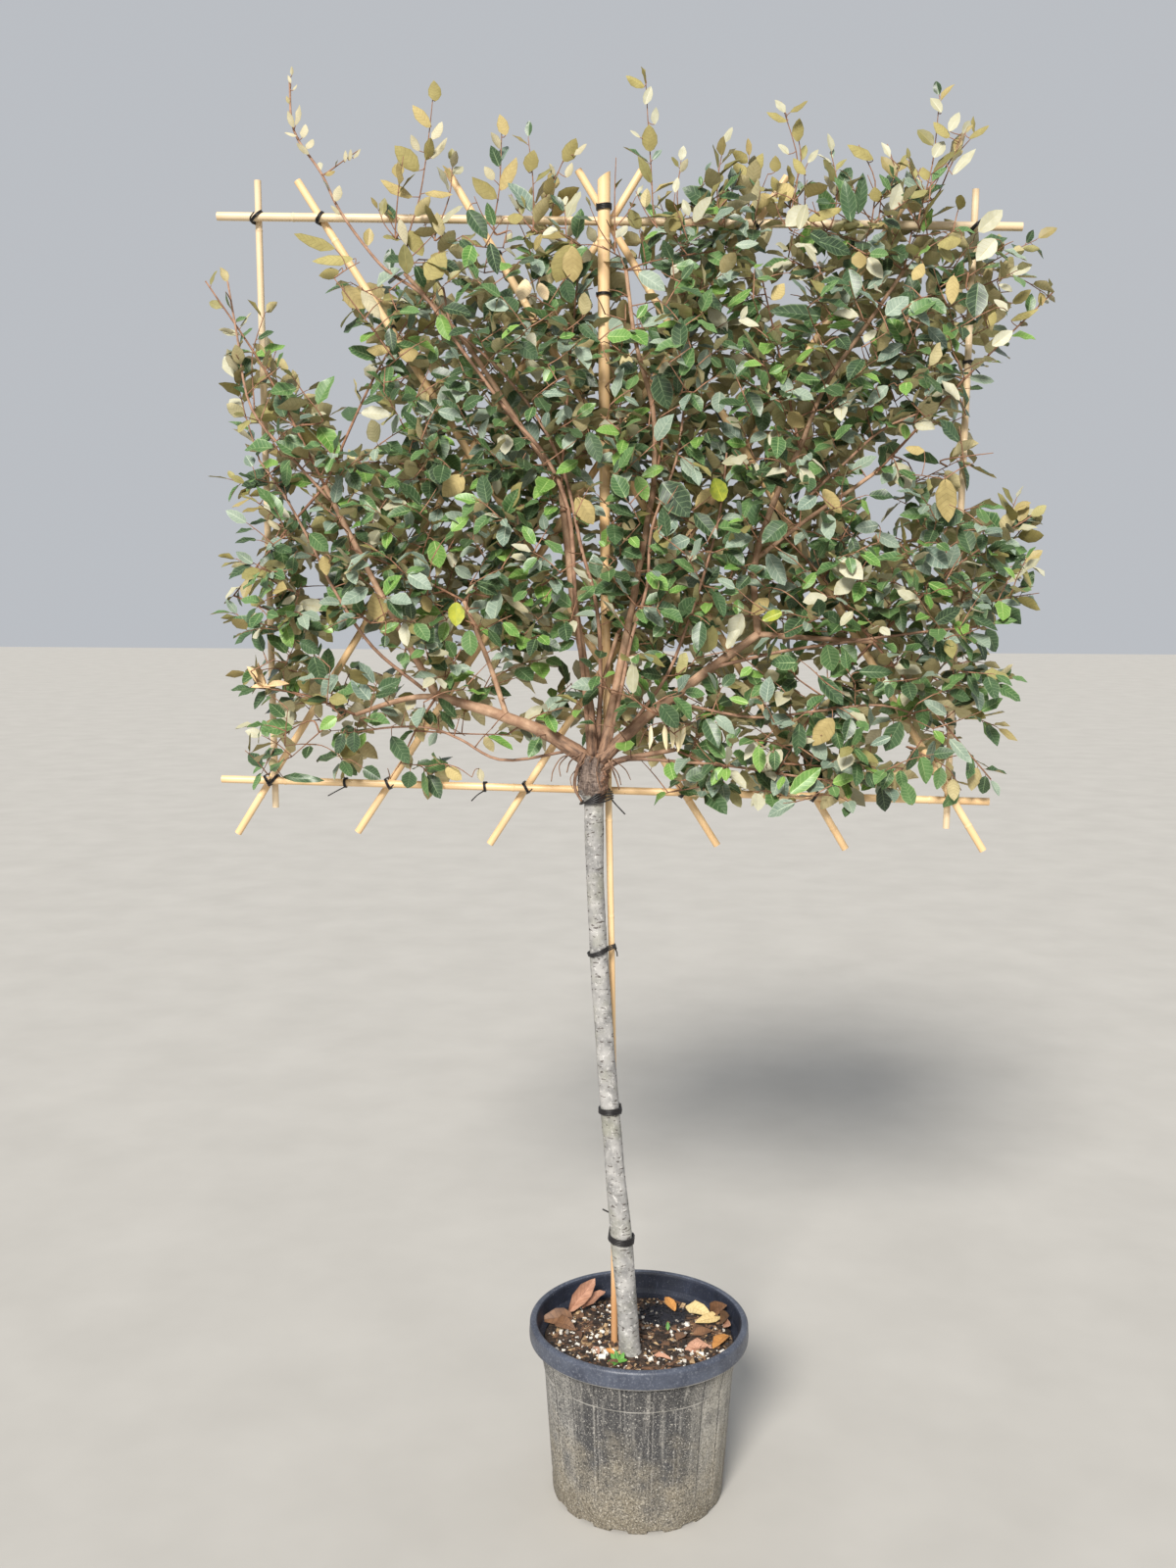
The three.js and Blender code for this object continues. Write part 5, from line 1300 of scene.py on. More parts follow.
def strew(pile, chance, count, length, flat, shares, where):
    """Adds angular chips that lie on the soil, each a box with uneven corners."""
    box = np.array([(x, y, z) for x in (-1, 1) for y in (-1, 1) for z in (-1, 1)], float)
    quads = [(0, 1, 3, 2), (4, 6, 7, 5), (0, 4, 5, 1), (2, 3, 7, 6), (0, 2, 6, 4), (1, 5, 7, 3)]
    for _ in range(count):
        reach = STREWN_RADIUS * MM * math.sqrt(chance.random())
        turn = chance.random() * 2 * math.pi
        x, y = reach * math.cos(turn), reach * math.sin(turn)
        if math.hypot(x / MM - BARE_PLACE[0], y / MM - BARE_PLACE[1]) < BARE_RADIUS:
            continue
        if chance.random() > strewn_share(x / MM, y / MM, where):
            continue
        size = length * MM * (0.45 + 1.1 * chance.random() ** 2)
        shape = box * (1, flat[0] * (0.7 + 0.6 * chance.random()), flat[1])
        shape *= 1 + 0.5 * (chance.random((8, 3)) - 0.5)
        shape[4:] *= (1, 0.55 + 0.5 * chance.random(), 1)
        tip, roll, spin = (chance.random(3) - 0.5) * (0.9, 0.7, 2 * math.pi)
        tilt = Matrix.Rotation(tip, 3, "X") @ Matrix.Rotation(roll, 3, "Y")
        points = (shape * size / 2) @ np.array(Matrix.Rotation(spin, 3, "Z") @ tilt).T
        points += (x, y, soil_height(x, y) + size * flat[1] * 0.25)
        pile.add(points, [quads], int(chance.choice(len(shares), p=shares)))


def make_chips():
    """Bark chips, white grit and black gravel strewn on the soil."""
    chance = np.random.default_rng(CHIP_SEED)
    for name, (shades, scale, bump, strewings) in CHIPS.items():
        pile = Pile()
        for strewing in strewings:
            strew(pile, chance, *strewing)
        pile.piece(name, [plain_look(*shade, scale, bump) for shade in shades], crease=0)


# Leaf outline: the share of the length of each row of points, its half width, and how far its points
# count as across the leaf for the pattern
LEAF_ROWS = np.array([0.0, 0.09, 0.32, 0.6, 0.85, 1.0])
LEAF_HALF = np.array([0.0, 0.46, 0.94, 0.95, 0.5, 0.0])
LEAF_SIDES = (1.0, 0.03, -0.03, -1.0, 0.0)
LEAF_THICKNESS = 0.0008
RIB_HALF_WIDTH = 0.0009
LEAF_CREASE = 50
SCALLOP_DEPTH = 0.05
SCALLOP_PACE = 19
WAVE_PACE = 14


def leaf_faces():
    """The triangles of one leaf, and the look of each. Its points are the base, then the left margin,
    the midrib's left and right edge, the right margin and the underside's midrib of each row, then the
    tip. Both sides are cut along the same diagonals, so they never pass through each other."""
    left, rib, other, right, low, each = range(6)
    rows = [1 + each * row for row in range(len(LEAF_ROWS) - 2)]
    base, tip = 0, 1 + each * len(rows)
    strips = ((left, rib, UPPER), (rib, other, RIB), (other, right, UPPER))
    faces = []
    for a, b in zip(rows[:-1], rows[1:]):
        for one, two, look in ((left, rib, UPPER), (rib, other, RIB)):
            faces += [(a + one, a + two, b + two, look), (a + one, b + two, b + one, look)]
        faces += [(a + other, a + right, b + right, UPPER), (a + other, b + right, b + other, UPPER)]
        faces += [(a + left, b + low, a + low, UNDER), (a + left, b + left, b + low, UNDER)]
        faces += [(a + low, b + right, a + right, UNDER), (a + low, b + low, b + right, UNDER)]
    for one, two, look in strips:
        faces += [(base, rows[0] + two, rows[0] + one, look), (rows[-1] + one, rows[-1] + two, tip, look)]
    for one, two in ((left, low), (low, right)):
        faces += [(base, rows[0] + one, rows[0] + two, UNDER), (rows[-1] + two, rows[-1] + one, tip, UNDER)]
    faces = np.array(faces)
    return faces[:, :3], faces[:, 3]


LEAF_FACES, LEAF_FACE_LOOKS = leaf_faces()


def add_leaves(pile, leaves, seed):
    """Leaves as thin closed shells. Each is its base, direction, facing, length, width share, fold,
    droop and wave, in metres."""
    chance = np.random.default_rng(seed)
    base = np.array([leaf[0] for leaf in leaves])
    direction = unit(np.array([leaf[1] for leaf in leaves]))
    facing = np.array([leaf[2] for leaf in leaves])
    across = unit(np.cross(facing, direction))
    above = np.cross(direction, across)
    sizes = np.array([leaf[3:] for leaf in leaves])
    length, width, fold, droop, wave = (sizes[:, i : i + 1] for i in range(5))
    share = LEAF_ROWS[None]
    phase = chance.random((4, len(leaves), 1)) * 2 * math.pi
    bend = (-droop * length * share**2)[..., None] * above[:, None]
    spine = base[:, None] + share[..., None] * length[..., None] * direction[:, None] + bend
    margins = []
    for side, first, second in ((1, phase[0], phase[1]), (-1, phase[2], phase[3])):
        half = length * width / 2 * LEAF_HALF * (1 + SCALLOP_DEPTH * np.sin(share * SCALLOP_PACE + first))
        lift = half * fold + wave * length * np.sin(share * WAVE_PACE + second) * LEAF_HALF
        margins.append(spine + side * half[..., None] * across[:, None] + lift[..., None] * above[:, None])
    rib = RIB_HALF_WIDTH * (1.2 - share[..., None]) * across[:, None]
    low = spine - LEAF_THICKNESS * above[:, None]
    rows = np.stack([margins[0], spine + rib, spine - rib, margins[1], low], axis=2)[:, 1:-1]
    points = np.concatenate([spine[:, :1], rows.reshape(len(leaves), -1, 3), spine[:, -1:]], axis=1)
    starts = np.arange(len(leaves))[:, None, None] * points.shape[1]
    faces = (LEAF_FACES[None] + starts).reshape(-1, 3)
    inner = [(share, side) for share in LEAF_ROWS[1:-1] for side in LEAF_SIDES]
    spots = np.array([(0.0, 0.0), *inner, (1.0, 0.0)])
    tones = np.broadcast_to(chance.random((len(leaves), 1, 1)), (len(leaves), len(spots), 1))
    grain = np.concatenate([np.broadcast_to(spots, (len(leaves), *spots.shape)), tones], axis=2)
    pile.add(points, [faces], np.tile(LEAF_FACE_LOOKS, len(leaves)), grain.reshape(-1, 3))


def make_litter():
    """Dry leaves and a green sprig on the soil."""
    for seed, (kind, leaves) in enumerate(LITTER.items()):
        records = []
        for place, direction, facing, length, width, fold, droop in leaves:
            facing = np.array(facing, float)
            sizes = (length * MM, width, fold, droop, LITTER_WAVE)
            records.append((metres(place), np.array(direction), facing, *sizes))
        pale, dark, vein = LITTER_SHADES[kind]
        pile = Pile()
        add_leaves(pile, records, LITTER_SEED + seed)
        looks = leaf_looks("litter_" + kind, pale, dark, pale, dark, vein, 0.6)
        pile.piece("litter_" + kind, looks, crease=LEAF_CREASE)


def trunk_relief(path, turn, _, radii):
    """Low ripples and rings on the stem, and deep fibrous lobes with a crease between on the knob."""
    out = np.zeros((len(path), len(turn)))
    for i, (place, radius) in enumerate(zip(path, radii)):
        height = place[2] / MM
        swell = min(1.0, max(0.0, (height - KNOB_FOOT) / KNOB_RISE))
        for j, t in enumerate(turn):
            x, y = math.cos(t) * radius, math.sin(t) * radius
            broad = noise.noise(Vector((x * 30, y * 30, place[2] * 9)))
            rings = noise.noise(Vector((x * 40, y * 40, place[2] * 190)))
            fine = noise.noise(Vector((x * 260, y * 260, place[2] * 200)))
            rough = noise.fractal(Vector((x * 85, y * 85, place[2] * 60)), 0.75, 2.2, 5)
            smooth = STEM_RELIEF[0] * broad + STEM_RELIEF[1] * rings + STEM_RELIEF[2] * fine
            crease = math.exp(-(((t - KNOB_CREASE_TURN) / KNOB_CREASE_WIDTH) ** 2))
            lobed = KNOB_RELIEF[0] * rough + KNOB_RELIEF[1] * broad - KNOB_RELIEF[2] * crease
            out[i, j] = (1 - swell) * smooth + swell * lobed
    return out


def make_trunk():
    """The trunk up to the knob at the graft, and the rootlets on the knob."""
    stations = [((x, TRUNK_Y, height), diameter) for x, height, diameter in TRUNK_STATIONS]
    path = smooth_path([place for place, _ in stations], TRUNK_STEPS) * MM
    widths = [diameter * MM / 2 for _, diameter in stations]
    radii = np.interp(np.arange(len(path)) / TRUNK_STEPS, np.arange(len(stations)), widths)
    path[0] = metres(stations[0][0])
    pile = Pile()
    pile.add_tube(path, radii, TRUNK_SIDES, trunk_relief)
    pile.piece("trunk_bark", [bark_look()], ["trunk"])
    roots = Pile()
    for diameter, points in ROOTLETS:
        path = smooth_path(points, 6) * MM
        radii = np.linspace(diameter, diameter * ROOTLET_TAPER, len(path)) * MM / 2
        roots.add_tube(path, radii, ROOTLET_SIDES, bough_relief)
    look = bough_look("bark_root", (186, 144, 114), (122, 86, 66), 1.5)
    roots.piece("knob_rootlets", [look])


def bough_relief(path, turn, run, radii):
    """Long low lumps and shorter ones on a bough, as shares of its radius."""
    out = np.zeros((len(path), len(turn)))
    for i, place in enumerate(path):
        for j, t in enumerate(turn):
            x, y = math.cos(t) * radii[i], math.sin(t) * radii[i]
            spot = Vector((x * 90 + place[0] * 3, y * 90, run[i] * 28 + place[2] * 2))
            lumps = BOUGH_RELIEF[0] * noise.noise(spot) + BOUGH_RELIEF[1] * noise.noise(spot * 4)
            out[i, j] = radii[i] * lumps
    return out


def make_boughs():
    """The main boughs, flared where they leave the knob."""
    look = bough_look("bark_bough", (202, 168, 138), (146, 110, 86))
    for name, root, tip, points in BOUGHS:
        path = smooth_path(points, BOUGH_STEPS) * MM
        radii = np.linspace(root, tip, len(path)) * MM / 2
        if points[0][2] < KNOB_TOP:
            run = np.linalg.norm(path - path[0], axis=1)
            radii *= 1 + ROOT_FLARE * np.exp(-run / (ROOT_FLARE_LENGTH * MM))
        pile = Pile()
        pile.add_tube(path, radii, BOUGH_SIDES, bough_relief)
        pile.piece("bark_" + name, [look], ["bough_" + name])


STRAIGHT_CANES = sorted(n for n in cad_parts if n.startswith("cane_") and n != "cane_centre")


def cane_rings(name):
    """The centre line of a straight cane from its higher end, and its radius, by the rings of its node's
    points."""
    places = np.array([v.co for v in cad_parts[name].data.vertices], float)
    centre = places.mean(0)
    axis = np.linalg.svd(places - centre, full_matrices=False)[2][0]
    if axis @ UP > 0:
        axis = -axis
    run = (places - centre) @ axis
    order = np.argsort(run)
    gaps = np.where(np.diff(run[order]) > 0.0015)[0] + 1
    rings = [places[group] for group in np.split(order, gaps)]
    line = np.array([ring.mean(0) for ring in rings])
    radii = [np.linalg.norm(ring - ring.mean(0), axis=1).max() for ring in rings]
    return line, float(np.median(radii))


def cane_shape(line, radii, seed):
    """The path and radii of a bamboo cane, with swollen nodes and a groove above each. Its line has the
    share of the length beside each point."""
    chance = np.random.default_rng(seed)
    length = np.linalg.norm(line[-1] - line[0])
    nodes = []
    at = FIRST_NODE_GAP + CANE_NODE_SPREAD * chance.random()
    while at < length - LAST_NODE_GAP:
        nodes.append(at)
        at += CANE_NODE_PITCH + CANE_NODE_SPREAD * chance.random()
    runs = [np.linspace(0, length, 100)] + [place + CANE_NODE_STEPS for place in nodes]
    run = np.unique(np.clip(np.concatenate(runs), 0, length))
    share = run / length
    path = np.stack([np.interp(share, line[:, 3], line[:, i]) for i in range(3)], axis=1)
    radii = np.interp(share, line[:, 3], radii)
    for place in nodes:
        offset = run - place
        swelling = NODE_SWELLING * np.exp(-((offset / NODE_SWELLING_REACH) ** 2))
        groove = NODE_GROOVE * np.exp(-(((offset + NODE_GROOVE_OFFSET) / NODE_GROOVE_REACH) ** 2))
        radii = radii * (1 + (swelling - groove))
    return path, radii


def cut_aslant(points):
    """Cuts the top end of a tube aslant, lower on the left."""
    end = np.append(np.arange(CANE_SIDES), len(points) - 2)
    aside = points[end, 0]
    points[end, 2] -= CENTRE_CANE_SLANT * MM * (aside.max() - aside) / np.ptp(aside)


def with_shares(line):
    """A line's points, each with the share of the length that it has reached."""
    ends = np.linalg.norm(line - line[0], axis=1)
    return np.column_stack([line, ends / ends[-1]])


def make_canes():
    """The lattice: each straight cane as its node is, and the centre cane by its stations."""
    pale = cane_look("bamboo_pale", (234, 214, 182), (220, 190, 148), (112, 76, 48))
    warm = cane_look("bamboo_warm", (246, 216, 170), (232, 190, 136), (112, 76, 48))
    canes = {}
    for name in STRAIGHT_CANES:
        line, radius = cane_rings(name)
        canes[name] = (with_shares(line), np.full(len(line), radius))
    stations = np.array(CENTRE_CANE_STATIONS, float)[::-1]
    canes["cane_centre"] = (with_shares(stations[:, :3] * MM), stations[:, 3] * MM / 2)
    for index, (name, (line, radii)) in enumerate(canes.items()):
        centre = name == "cane_centre"
        path, radii = cane_shape(line, radii, CENTRE_CANE_SEED if centre else CANE_SEED + index)
        pile = Pile()
        pile.add_tube(path, radii, CANE_SIDES)
        if centre:
            cut_aslant(pile.points[-1])
        look = warm if name.startswith(WARM_CANES) else pale
        pile.piece("bamboo_" + name[5:], [look], [name], crease=CANE_CREASE)


def stretches_of(path, radius):
    """The straight stretches of a path, each with its start, its end and a radius."""
    return [(start, end, radius) for start, end in zip(path[:-1], path[1:])]


def obstacles():
    """Every limb and cane as short straight stretches, in millimetres: their starts, spans and radii."""
    found = []
    for _, root, tip, points in BOUGHS:
        found += stretches_of(smooth_path(points, 2), (root + tip) / 4)
    trunk = [(np.array((x, TRUNK_Y, height), float), diameter) for x, height, diameter in TRUNK_STATIONS]
    for (start, foot_diameter), (end, top_diameter) in zip(trunk[:-1], trunk[1:]):
        found.append((start, end, max(foot_diameter, top_diameter) / 2))
    centre = [np.array(station[:3], float) for station in CENTRE_CANE_STATIONS]
    found += stretches_of(centre, CENTRE_CANE_STATIONS[-1][3] / 2)
    for name in STRAIGHT_CANES:
        line, radius = cane_rings(name)
        found += stretches_of(line / MM, radius / MM)
    starts, ends, radii = (np.array(column) for column in zip(*found))
    return starts, ends - starts, radii


OBSTACLE_STARTS, OBSTACLE_SPANS, OBSTACLE_RADII = obstacles()
OBSTACLE_SQUARES = (OBSTACLE_SPANS**2).sum(1)


def clear_of_limbs(points, clearance):
    """Whether the points keep off every limb and cane."""
    offset = points[:, None] - OBSTACLE_STARTS[None]
    share = np.clip((offset * OBSTACLE_SPANS).sum(2) / OBSTACLE_SQUARES, 0, 1)
    apart = offset - share[..., None] * OBSTACLE_SPANS
    return bool(((apart**2).sum(2) > (OBSTACLE_RADII + clearance) ** 2).all())


def in_outline(x, height):
    """Whether a place lies inside the crown's side outline."""
    inside = False
    for (x0, z0), (x1, z1) in zip(OUTLINE, OUTLINE[1:] + OUTLINE[:1]):
        if (z0 > height) != (z1 > height) and x < x0 + (x1 - x0) * (height - z0) / (z1 - z0):
            inside = not inside
    return inside


def seen(places):
    """Where places appear from the camera on the crown's face: their X and height there."""
    eye = np.array(CAMERA_PLACE) / MM
    offset = np.asarray(places, float) - eye
    share = (CROWN_FACE_Y - eye[1]) / offset[..., 1:2]
    return eye[[0, 2]] + offset[..., [0, 2]] * share


def on_face(spot, depth):
    """The place at a depth that appears from the camera at a spot of the crown's face."""
    eye = np.array(CAMERA_PLACE) / MM
    share = (depth - eye[1]) / (CROWN_FACE_Y - eye[1])
    x, z = eye[[0, 2]] + (np.array(spot) - eye[[0, 2]]) * share
    return np.array([x, depth, z])


def window_share(place):
    """The share of the leaves that an open window leaves out at a place."""
    at = seen(place)
    for x, z, half_width, half_height, share in WINDOWS:
        if ((at[0] - x) / half_width) ** 2 + ((at[1] - z) / half_height) ** 2 < 1:
            return share
    return 0.0


def youth(place):
    """How young the growth at a place is, from 0 deep in the crown to 1 at its top and side tips."""
    top = (place[2] - (YOUNG_TOP_LEFT if place[0] < YOUNG_TOP_SPLIT else YOUNG_TOP)) / YOUTH_REACH
    left = (YOUNG_LEFT - place[0]) / YOUTH_REACH
    right = (place[0] - YOUNG_RIGHT) / YOUTH_REACH
    return min(1.0, max(0.0, top, SIDE_YOUTH * left, SIDE_YOUTH * right))


def runner_path(front, middle, points):
    """The path of a long stem, with its distances in front at the foot and in the middle."""
    share = np.linspace(0, 1, len(points))
    depth = front * (1 - share) * (1 - 2 * share) + 4 * middle * share * (1 - share)
    depth += RUNNER_END * share * (2 * share - 1)
    return smooth_path([(x, -y, z) for (x, z), y in zip(points, depth)], 5)


def shown_lines(limbs, stems):
    """Straight stretches as they appear on the crown's face, before which leaves are left out. They come
    as arrays: the starts, the spans, the depths, how far to the side leaves count, and the share of them
    that is left out."""
    paths = [(path, 8 + LIMB_MARGIN, SHOWN_BOUGH_SHARE) for path in limbs]
    paths += [(path, 4 + LIMB_MARGIN, SHOWN_STEM_SHARE) for path in stems]
    for x0, z0, x1, z1, share in SHOWN_CANES:
        ends = np.array([(x0, CROWN_FACE_Y, z0), (x1, CROWN_FACE_Y, z1)])
        paths.append((ends, SHOWN_WIDTH * share, share))
    for x0, z0, x1, z1 in SHOWN_LEAVES:
        ends = np.array([(x0, SHOWN_LEAF_Y, z0), (x1, SHOWN_LEAF_Y, z1)])
        paths.append((ends, SHOWN_LEAF_WIDTH, 1.0))
    lines = []
    for path, width, share in paths:
        spots = seen(path)
        depths = (path[:-1, 1] + path[1:, 1]) / 2
        for start, end, depth in zip(spots[:-1], spots[1:], depths):
            lines.append((start, end - start, depth, width, share))
    for x0, z0, x1, z1, width in sum(PLACED_LEAVES.values(), []):
        ends = np.array([(x0, CROWN_FACE_Y, z0), (x1, CROWN_FACE_Y, z1)], float)
        start, end = seen(ends)
        depth = 1000 if youth(ends[0]) > YOUNG_ENOUGH else PLACED_FRONT + 10
        lines.append((start, end - start, depth, 8 + width / 2 * np.linalg.norm(ends[1] - ends[0]), 1.0))
    return [np.array(column) for column in zip(*lines)]


class Crown:
    """Twigs and leaves of the whole crown, grown mass by mass."""

    def __init__(self):
        self.twigs = []
        self.petioles = []
        self.leaves = {kind: [] for kind in LEAF_KINDS}
        self.grown = []
        self.stems = [(runner_path(*shape), root, tip) for root, tip, *shape in RUNNERS]
        limbs = [smooth_path(points, 8) for _, _, _, points in BOUGHS]
        stems = [path for path, _, _ in self.stems]
        self.limb_wood = np.vstack(limbs + stems)
        lines = shown_lines(limbs, stems)
        self.line_starts, self.line_spans, self.line_depths, self.line_widths, self.line_shares = lines

    def begin(self, seed, low=CROWN_LOW, high=CROWN_HIGH):
        """Starts new draws, and wood that grows inside a space."""
        self.chance = chances(seed)
        self.low, self.high = low, high
        self.wood = []

    def grow(self, index, mass):
        """A mass: its stem, then its coarse and fine twigs, nearest first, with their leaves."""
        _, row, column, tip, reach, twig_count, fullness = mass
        floor, top, front, back, walls = CROWN_ROWS[row]
        low = np.array([walls[column], front, floor], float)
        high = np.array([walls[column + 1], back, top], float)
        seed = CROWN_SEED + index
        self.begin(seed, np.maximum(low - CELL_SPILL, CROWN_LOW), np.minimum(high + CELL_SPILL, CROWN_HIGH))
        tip = np.array(tip, float)
        near = ((self.limb_wood > low) & (self.limb_wood < high)).all(1)
        self.limbs_near = self.limb_wood[near]

        if row < len(CROWN_ROWS) - 1:
            end = np.array([reach[0], tip[1] - STEM_DRIFT * next(self.chance), reach[1]])
            middle = np.clip((tip + end) / 2, low, high)
            middle = middle + UP * STEM_BOW * np.linalg.norm(end - tip) * next(self.chance)
            self.keep(smooth_path([tip, middle, end], 5), STEM_DIAMETER, STEM_TIP_DIAMETER, 0.3, 12)
        else:
            self.wood.append(tip)

        targets = []
        litres = np.prod(high - low) * 1e-6
        for i in range(twig_count + round(FINE_PER_LITRE * litres * fullness)):
            shares = np.array([(seed * SPREAD_OFFSET + step * (i + 1)) % 1 for step in SPREAD_STEPS])
            place = low + CELL_MARGIN + (high - low - 2 * CELL_MARGIN) * shares
            if in_outline(place[0], place[2]) and next(self.chance) > window_share(place):
                targets.append((place, i < twig_count))
        targets.sort(key=lambda target: (not target[1], np.linalg.norm(target[0] - tip)))
        for target, coarse in targets:
            self.twig(target, coarse)
        self.grown += self.wood

    def spread(self, reach):
        """A draw between minus and plus the reach."""
        return (next(self.chance) - 0.5) * 2 * reach

    def vary(self, middle, reach):
        """A draw at most the reach away from a middle."""
        return middle + self.spread(reach)

    def outside(self, points):
        """Whether any of the points lies outside the space for the growth."""
        return (points < self.low).any() or (points > self.high).any()

    def keep(self, path, root, tip, bare, forks, size=1.0, space=1.0):
        """Keeps a twig with its diameters, the places where others may fork off, and its leaves."""
        self.twigs.append((path, root, tip))
        for share in np.linspace(0, 1, forks + 1)[1:]:
            place = share * (len(path) - 1)
            i = min(int(place), len(path) - 2)
            self.wood.append(path[i] + (path[i + 1] - path[i]) * (place - i))
        self.leaf_out(path, bare, size, space)

    def twig(self, target, coarse):
        """A twig from the nearest wood towards its target, bent up at its middle."""
        shortest = TWIG_SHORTEST if coarse else FINE_SHORTEST
        wood = np.array(self.wood)
        if not coarse:
            wood = np.vstack([wood, self.limbs_near])
        for attempt in range(TWIG_TRIES):
            jitter = TWIG_JITTER * attempt
            goal = target + np.array([self.spread(jitter), self.spread(2 * jitter), self.spread(jitter)])
            apart = goal - wood
            cost = (apart**2).sum(1) + DOWNWARD_COST * np.minimum(apart[:, 2] - DOWNWARD_SLACK, 0) ** 2
            start = wood[cost.argmin()]
            length = np.linalg.norm(goal - start)
            if not shortest < length < FINE_LONGEST or self.outside(goal):
                continue
            bend = (start + goal) / 2 + UP * TWIG_LIFT * length * (self.spread(0.5) + 0.2)
            path = smooth_path([start, bend, goal], 3)
            if not clear_of_limbs(path[1 if length < 60 else 2 :], WOOD_CLEARANCE):
                continue
            if coarse:
                self.keep(path, TWIG_DIAMETER, TWIG_TIP_DIAMETER, 0.2, 4)
            else:
                self.keep(path, FINE_DIAMETER, FINE_TIP_DIAMETER, 0.2, 3)
            return

    def shoot(self, index, front, size, points):
        """A shoot that stands out of the crown, from the nearest wood through its points. High ones fork
        to both sides."""
        self.begin(SHOOT_SEED + index)
        wood = np.vstack([np.array(self.grown), self.limb_wood])
        first = np.array([points[0][0], -front, points[0][1]])
        start = wood[((wood - first) ** 2).sum(1).argmin()]
        depth = start[1] + (-front - start[1]) * np.linspace(0.4, 1, len(points))
        path = smooth_path([start] + [(x, y, z) for (x, z), y in zip(points, depth)], 4)
        self.keep(path, TWIG_DIAMETER, TWIG_TIP_DIAMETER * 0.8, 0.1, 8, size, 0.92)
        if points[-1][1] < FORKING_HEIGHT:
            return
        for side, fork in ((-1, 1), (1, 3)):
            low = self.wood[fork]
            reach = FORK_REACH * (1 + next(self.chance))
            tip = low + np.array([side * reach * 0.8, self.spread(FORK_REACH), reach * 1.3])
            if in_outline(low[0], low[2]) and (tip < self.high).all():
                twig = smooth_path([low, (low + tip) / 2 + side * np.array([5.0, 0, 0]), tip], 3)
                self.keep(twig, FINE_DIAMETER, FINE_TIP_DIAMETER, 0.2, 3, 0.8)
        self.grown += self.wood

    def runner_leaves(self, index, path):
        """Sparse leaves on a long stem, and more at the top of the first."""
        self.begin(RUNNER_SEED + index)
        self.leaf_out(path, RUNNER_BARE, 0.85, 1.7)
        if index == 0:
            self.leaf_out(path[-16:], 0.05, 0.5, 1.5)

    def leaf_out(self, path, bare, size=1.0, space=1.0):
        """Leaves in turn round a twig beyond its bare share, the last one at its tip."""
        along, across, round_ = directions(path)
        run = run_of(path)
        count = max(2, round(run[-1] * (1 - bare) / (LEAF_SPACING * space)))
        tone = next(self.chance)
        turn = next(self.chance) * 2 * math.pi
        for i in range(count + 1):
            share = bare + (0.99 - bare) * (i / count) ** 0.85
            at = np.array([np.interp(share * run[-1], run, path[:, k]) for k in range(3)])
            spot = min(int(np.searchsorted(run, share * run[-1])), len(path) - 1)
            young = youth(at)
            length = LEAF_LENGTH * size * (1 - YOUNG_LENGTH_CUT * young * share**2) * (1.1 - 0.3 * share**2)
            length *= 0.5 + 0.7 * math.sqrt(next(self.chance))
            outward = 1 if at[1] > CROWN_MIDDLE_Y + self.spread(60) else -1
            hang = (1 - young) * (0.1 + 0.6 * next(self.chance))
            for _ in range(LEAF_TRIES):
                turn += LEAF_TURN + self.spread(0.5)
                side = across[spot] * math.cos(turn) + round_[spot] * math.sin(turn)
                middle, reach = TIP_LEAF_ANGLE if i == count else LEAF_ANGLE
                if i < count:
                    middle -= YOUNG_ANGLE_CUT * young
                angle = math.radians(self.vary(middle, reach))
                direction = along[spot] * math.cos(angle) + side * math.sin(angle)
                direction = unit(direction + hang * np.array([0, 0.6 * outward, -0.8]))
                if self.leaf(at, direction, length, outward, young, tone):
                    break

    def leaf(self, at, direction, size, outward, young, tone):
        """A leaf on its stalk, unless it is left open. False if it has no room there."""
        aside = (at[0] - CROWN_MIDDLE_X) / CROWN_HALF_WIDTH
        facing = np.array([self.spread(0.5), outward * (0.6 + self.spread(0.5)), 0.8 + self.spread(0.4)])
        facing[0] += SIDE_FACING * max(0.0, abs(aside) - SIDE_START) * np.sign(aside)
        width = LEAF_WIDTH[0] - YOUNG_WIDTH_CUT * young + self.spread(LEAF_WIDTH[1])
        base = at + direction * PETIOLE_LENGTH * (0.5 + size / LEAF_LENGTH / 2)
        middle = base + direction * size * 0.5
        margin = unit(np.cross(facing, direction)) * size * width / 2
        corners = np.array([middle + margin, middle - margin, base + direction * size])
        if self.outside(corners):
            return False
        if next(self.chance) < window_share(middle):
            return True
        if not clear_of_limbs(np.vstack([corners, middle[None]]), LEAF_CLEARANCE):
            return False
        if next(self.chance) < self.hidden_share(middle):
            return True
        shape = (self.vary(*LEAF_FOLD), self.vary(*LEAF_DROOP), self.vary(*LEAF_WAVE))
        kind = self.kind_of(young, tone)
        self.leaves[kind].append((base * MM, direction, facing, size * MM, width, *shape))
        self.petioles.append((np.array([at, base + direction * 0.8]), PETIOLE_DIAMETER, PETIOLE_DIAMETER))
        return True

    def hidden_share(self, place):
        """The share of the leaves to leave out at a place, because of what they would hide."""
        offset = seen(place) - self.line_starts
        share = np.clip((offset * self.line_spans).sum(1) / (self.line_spans**2).sum(1), 0, 1)
        apart = np.linalg.norm(offset - share[:, None] * self.line_spans, axis=1)
        hides = (place[1] < self.line_depths) & (apart < self.line_widths)
        return float(np.where(hides, self.line_shares, 0).max())

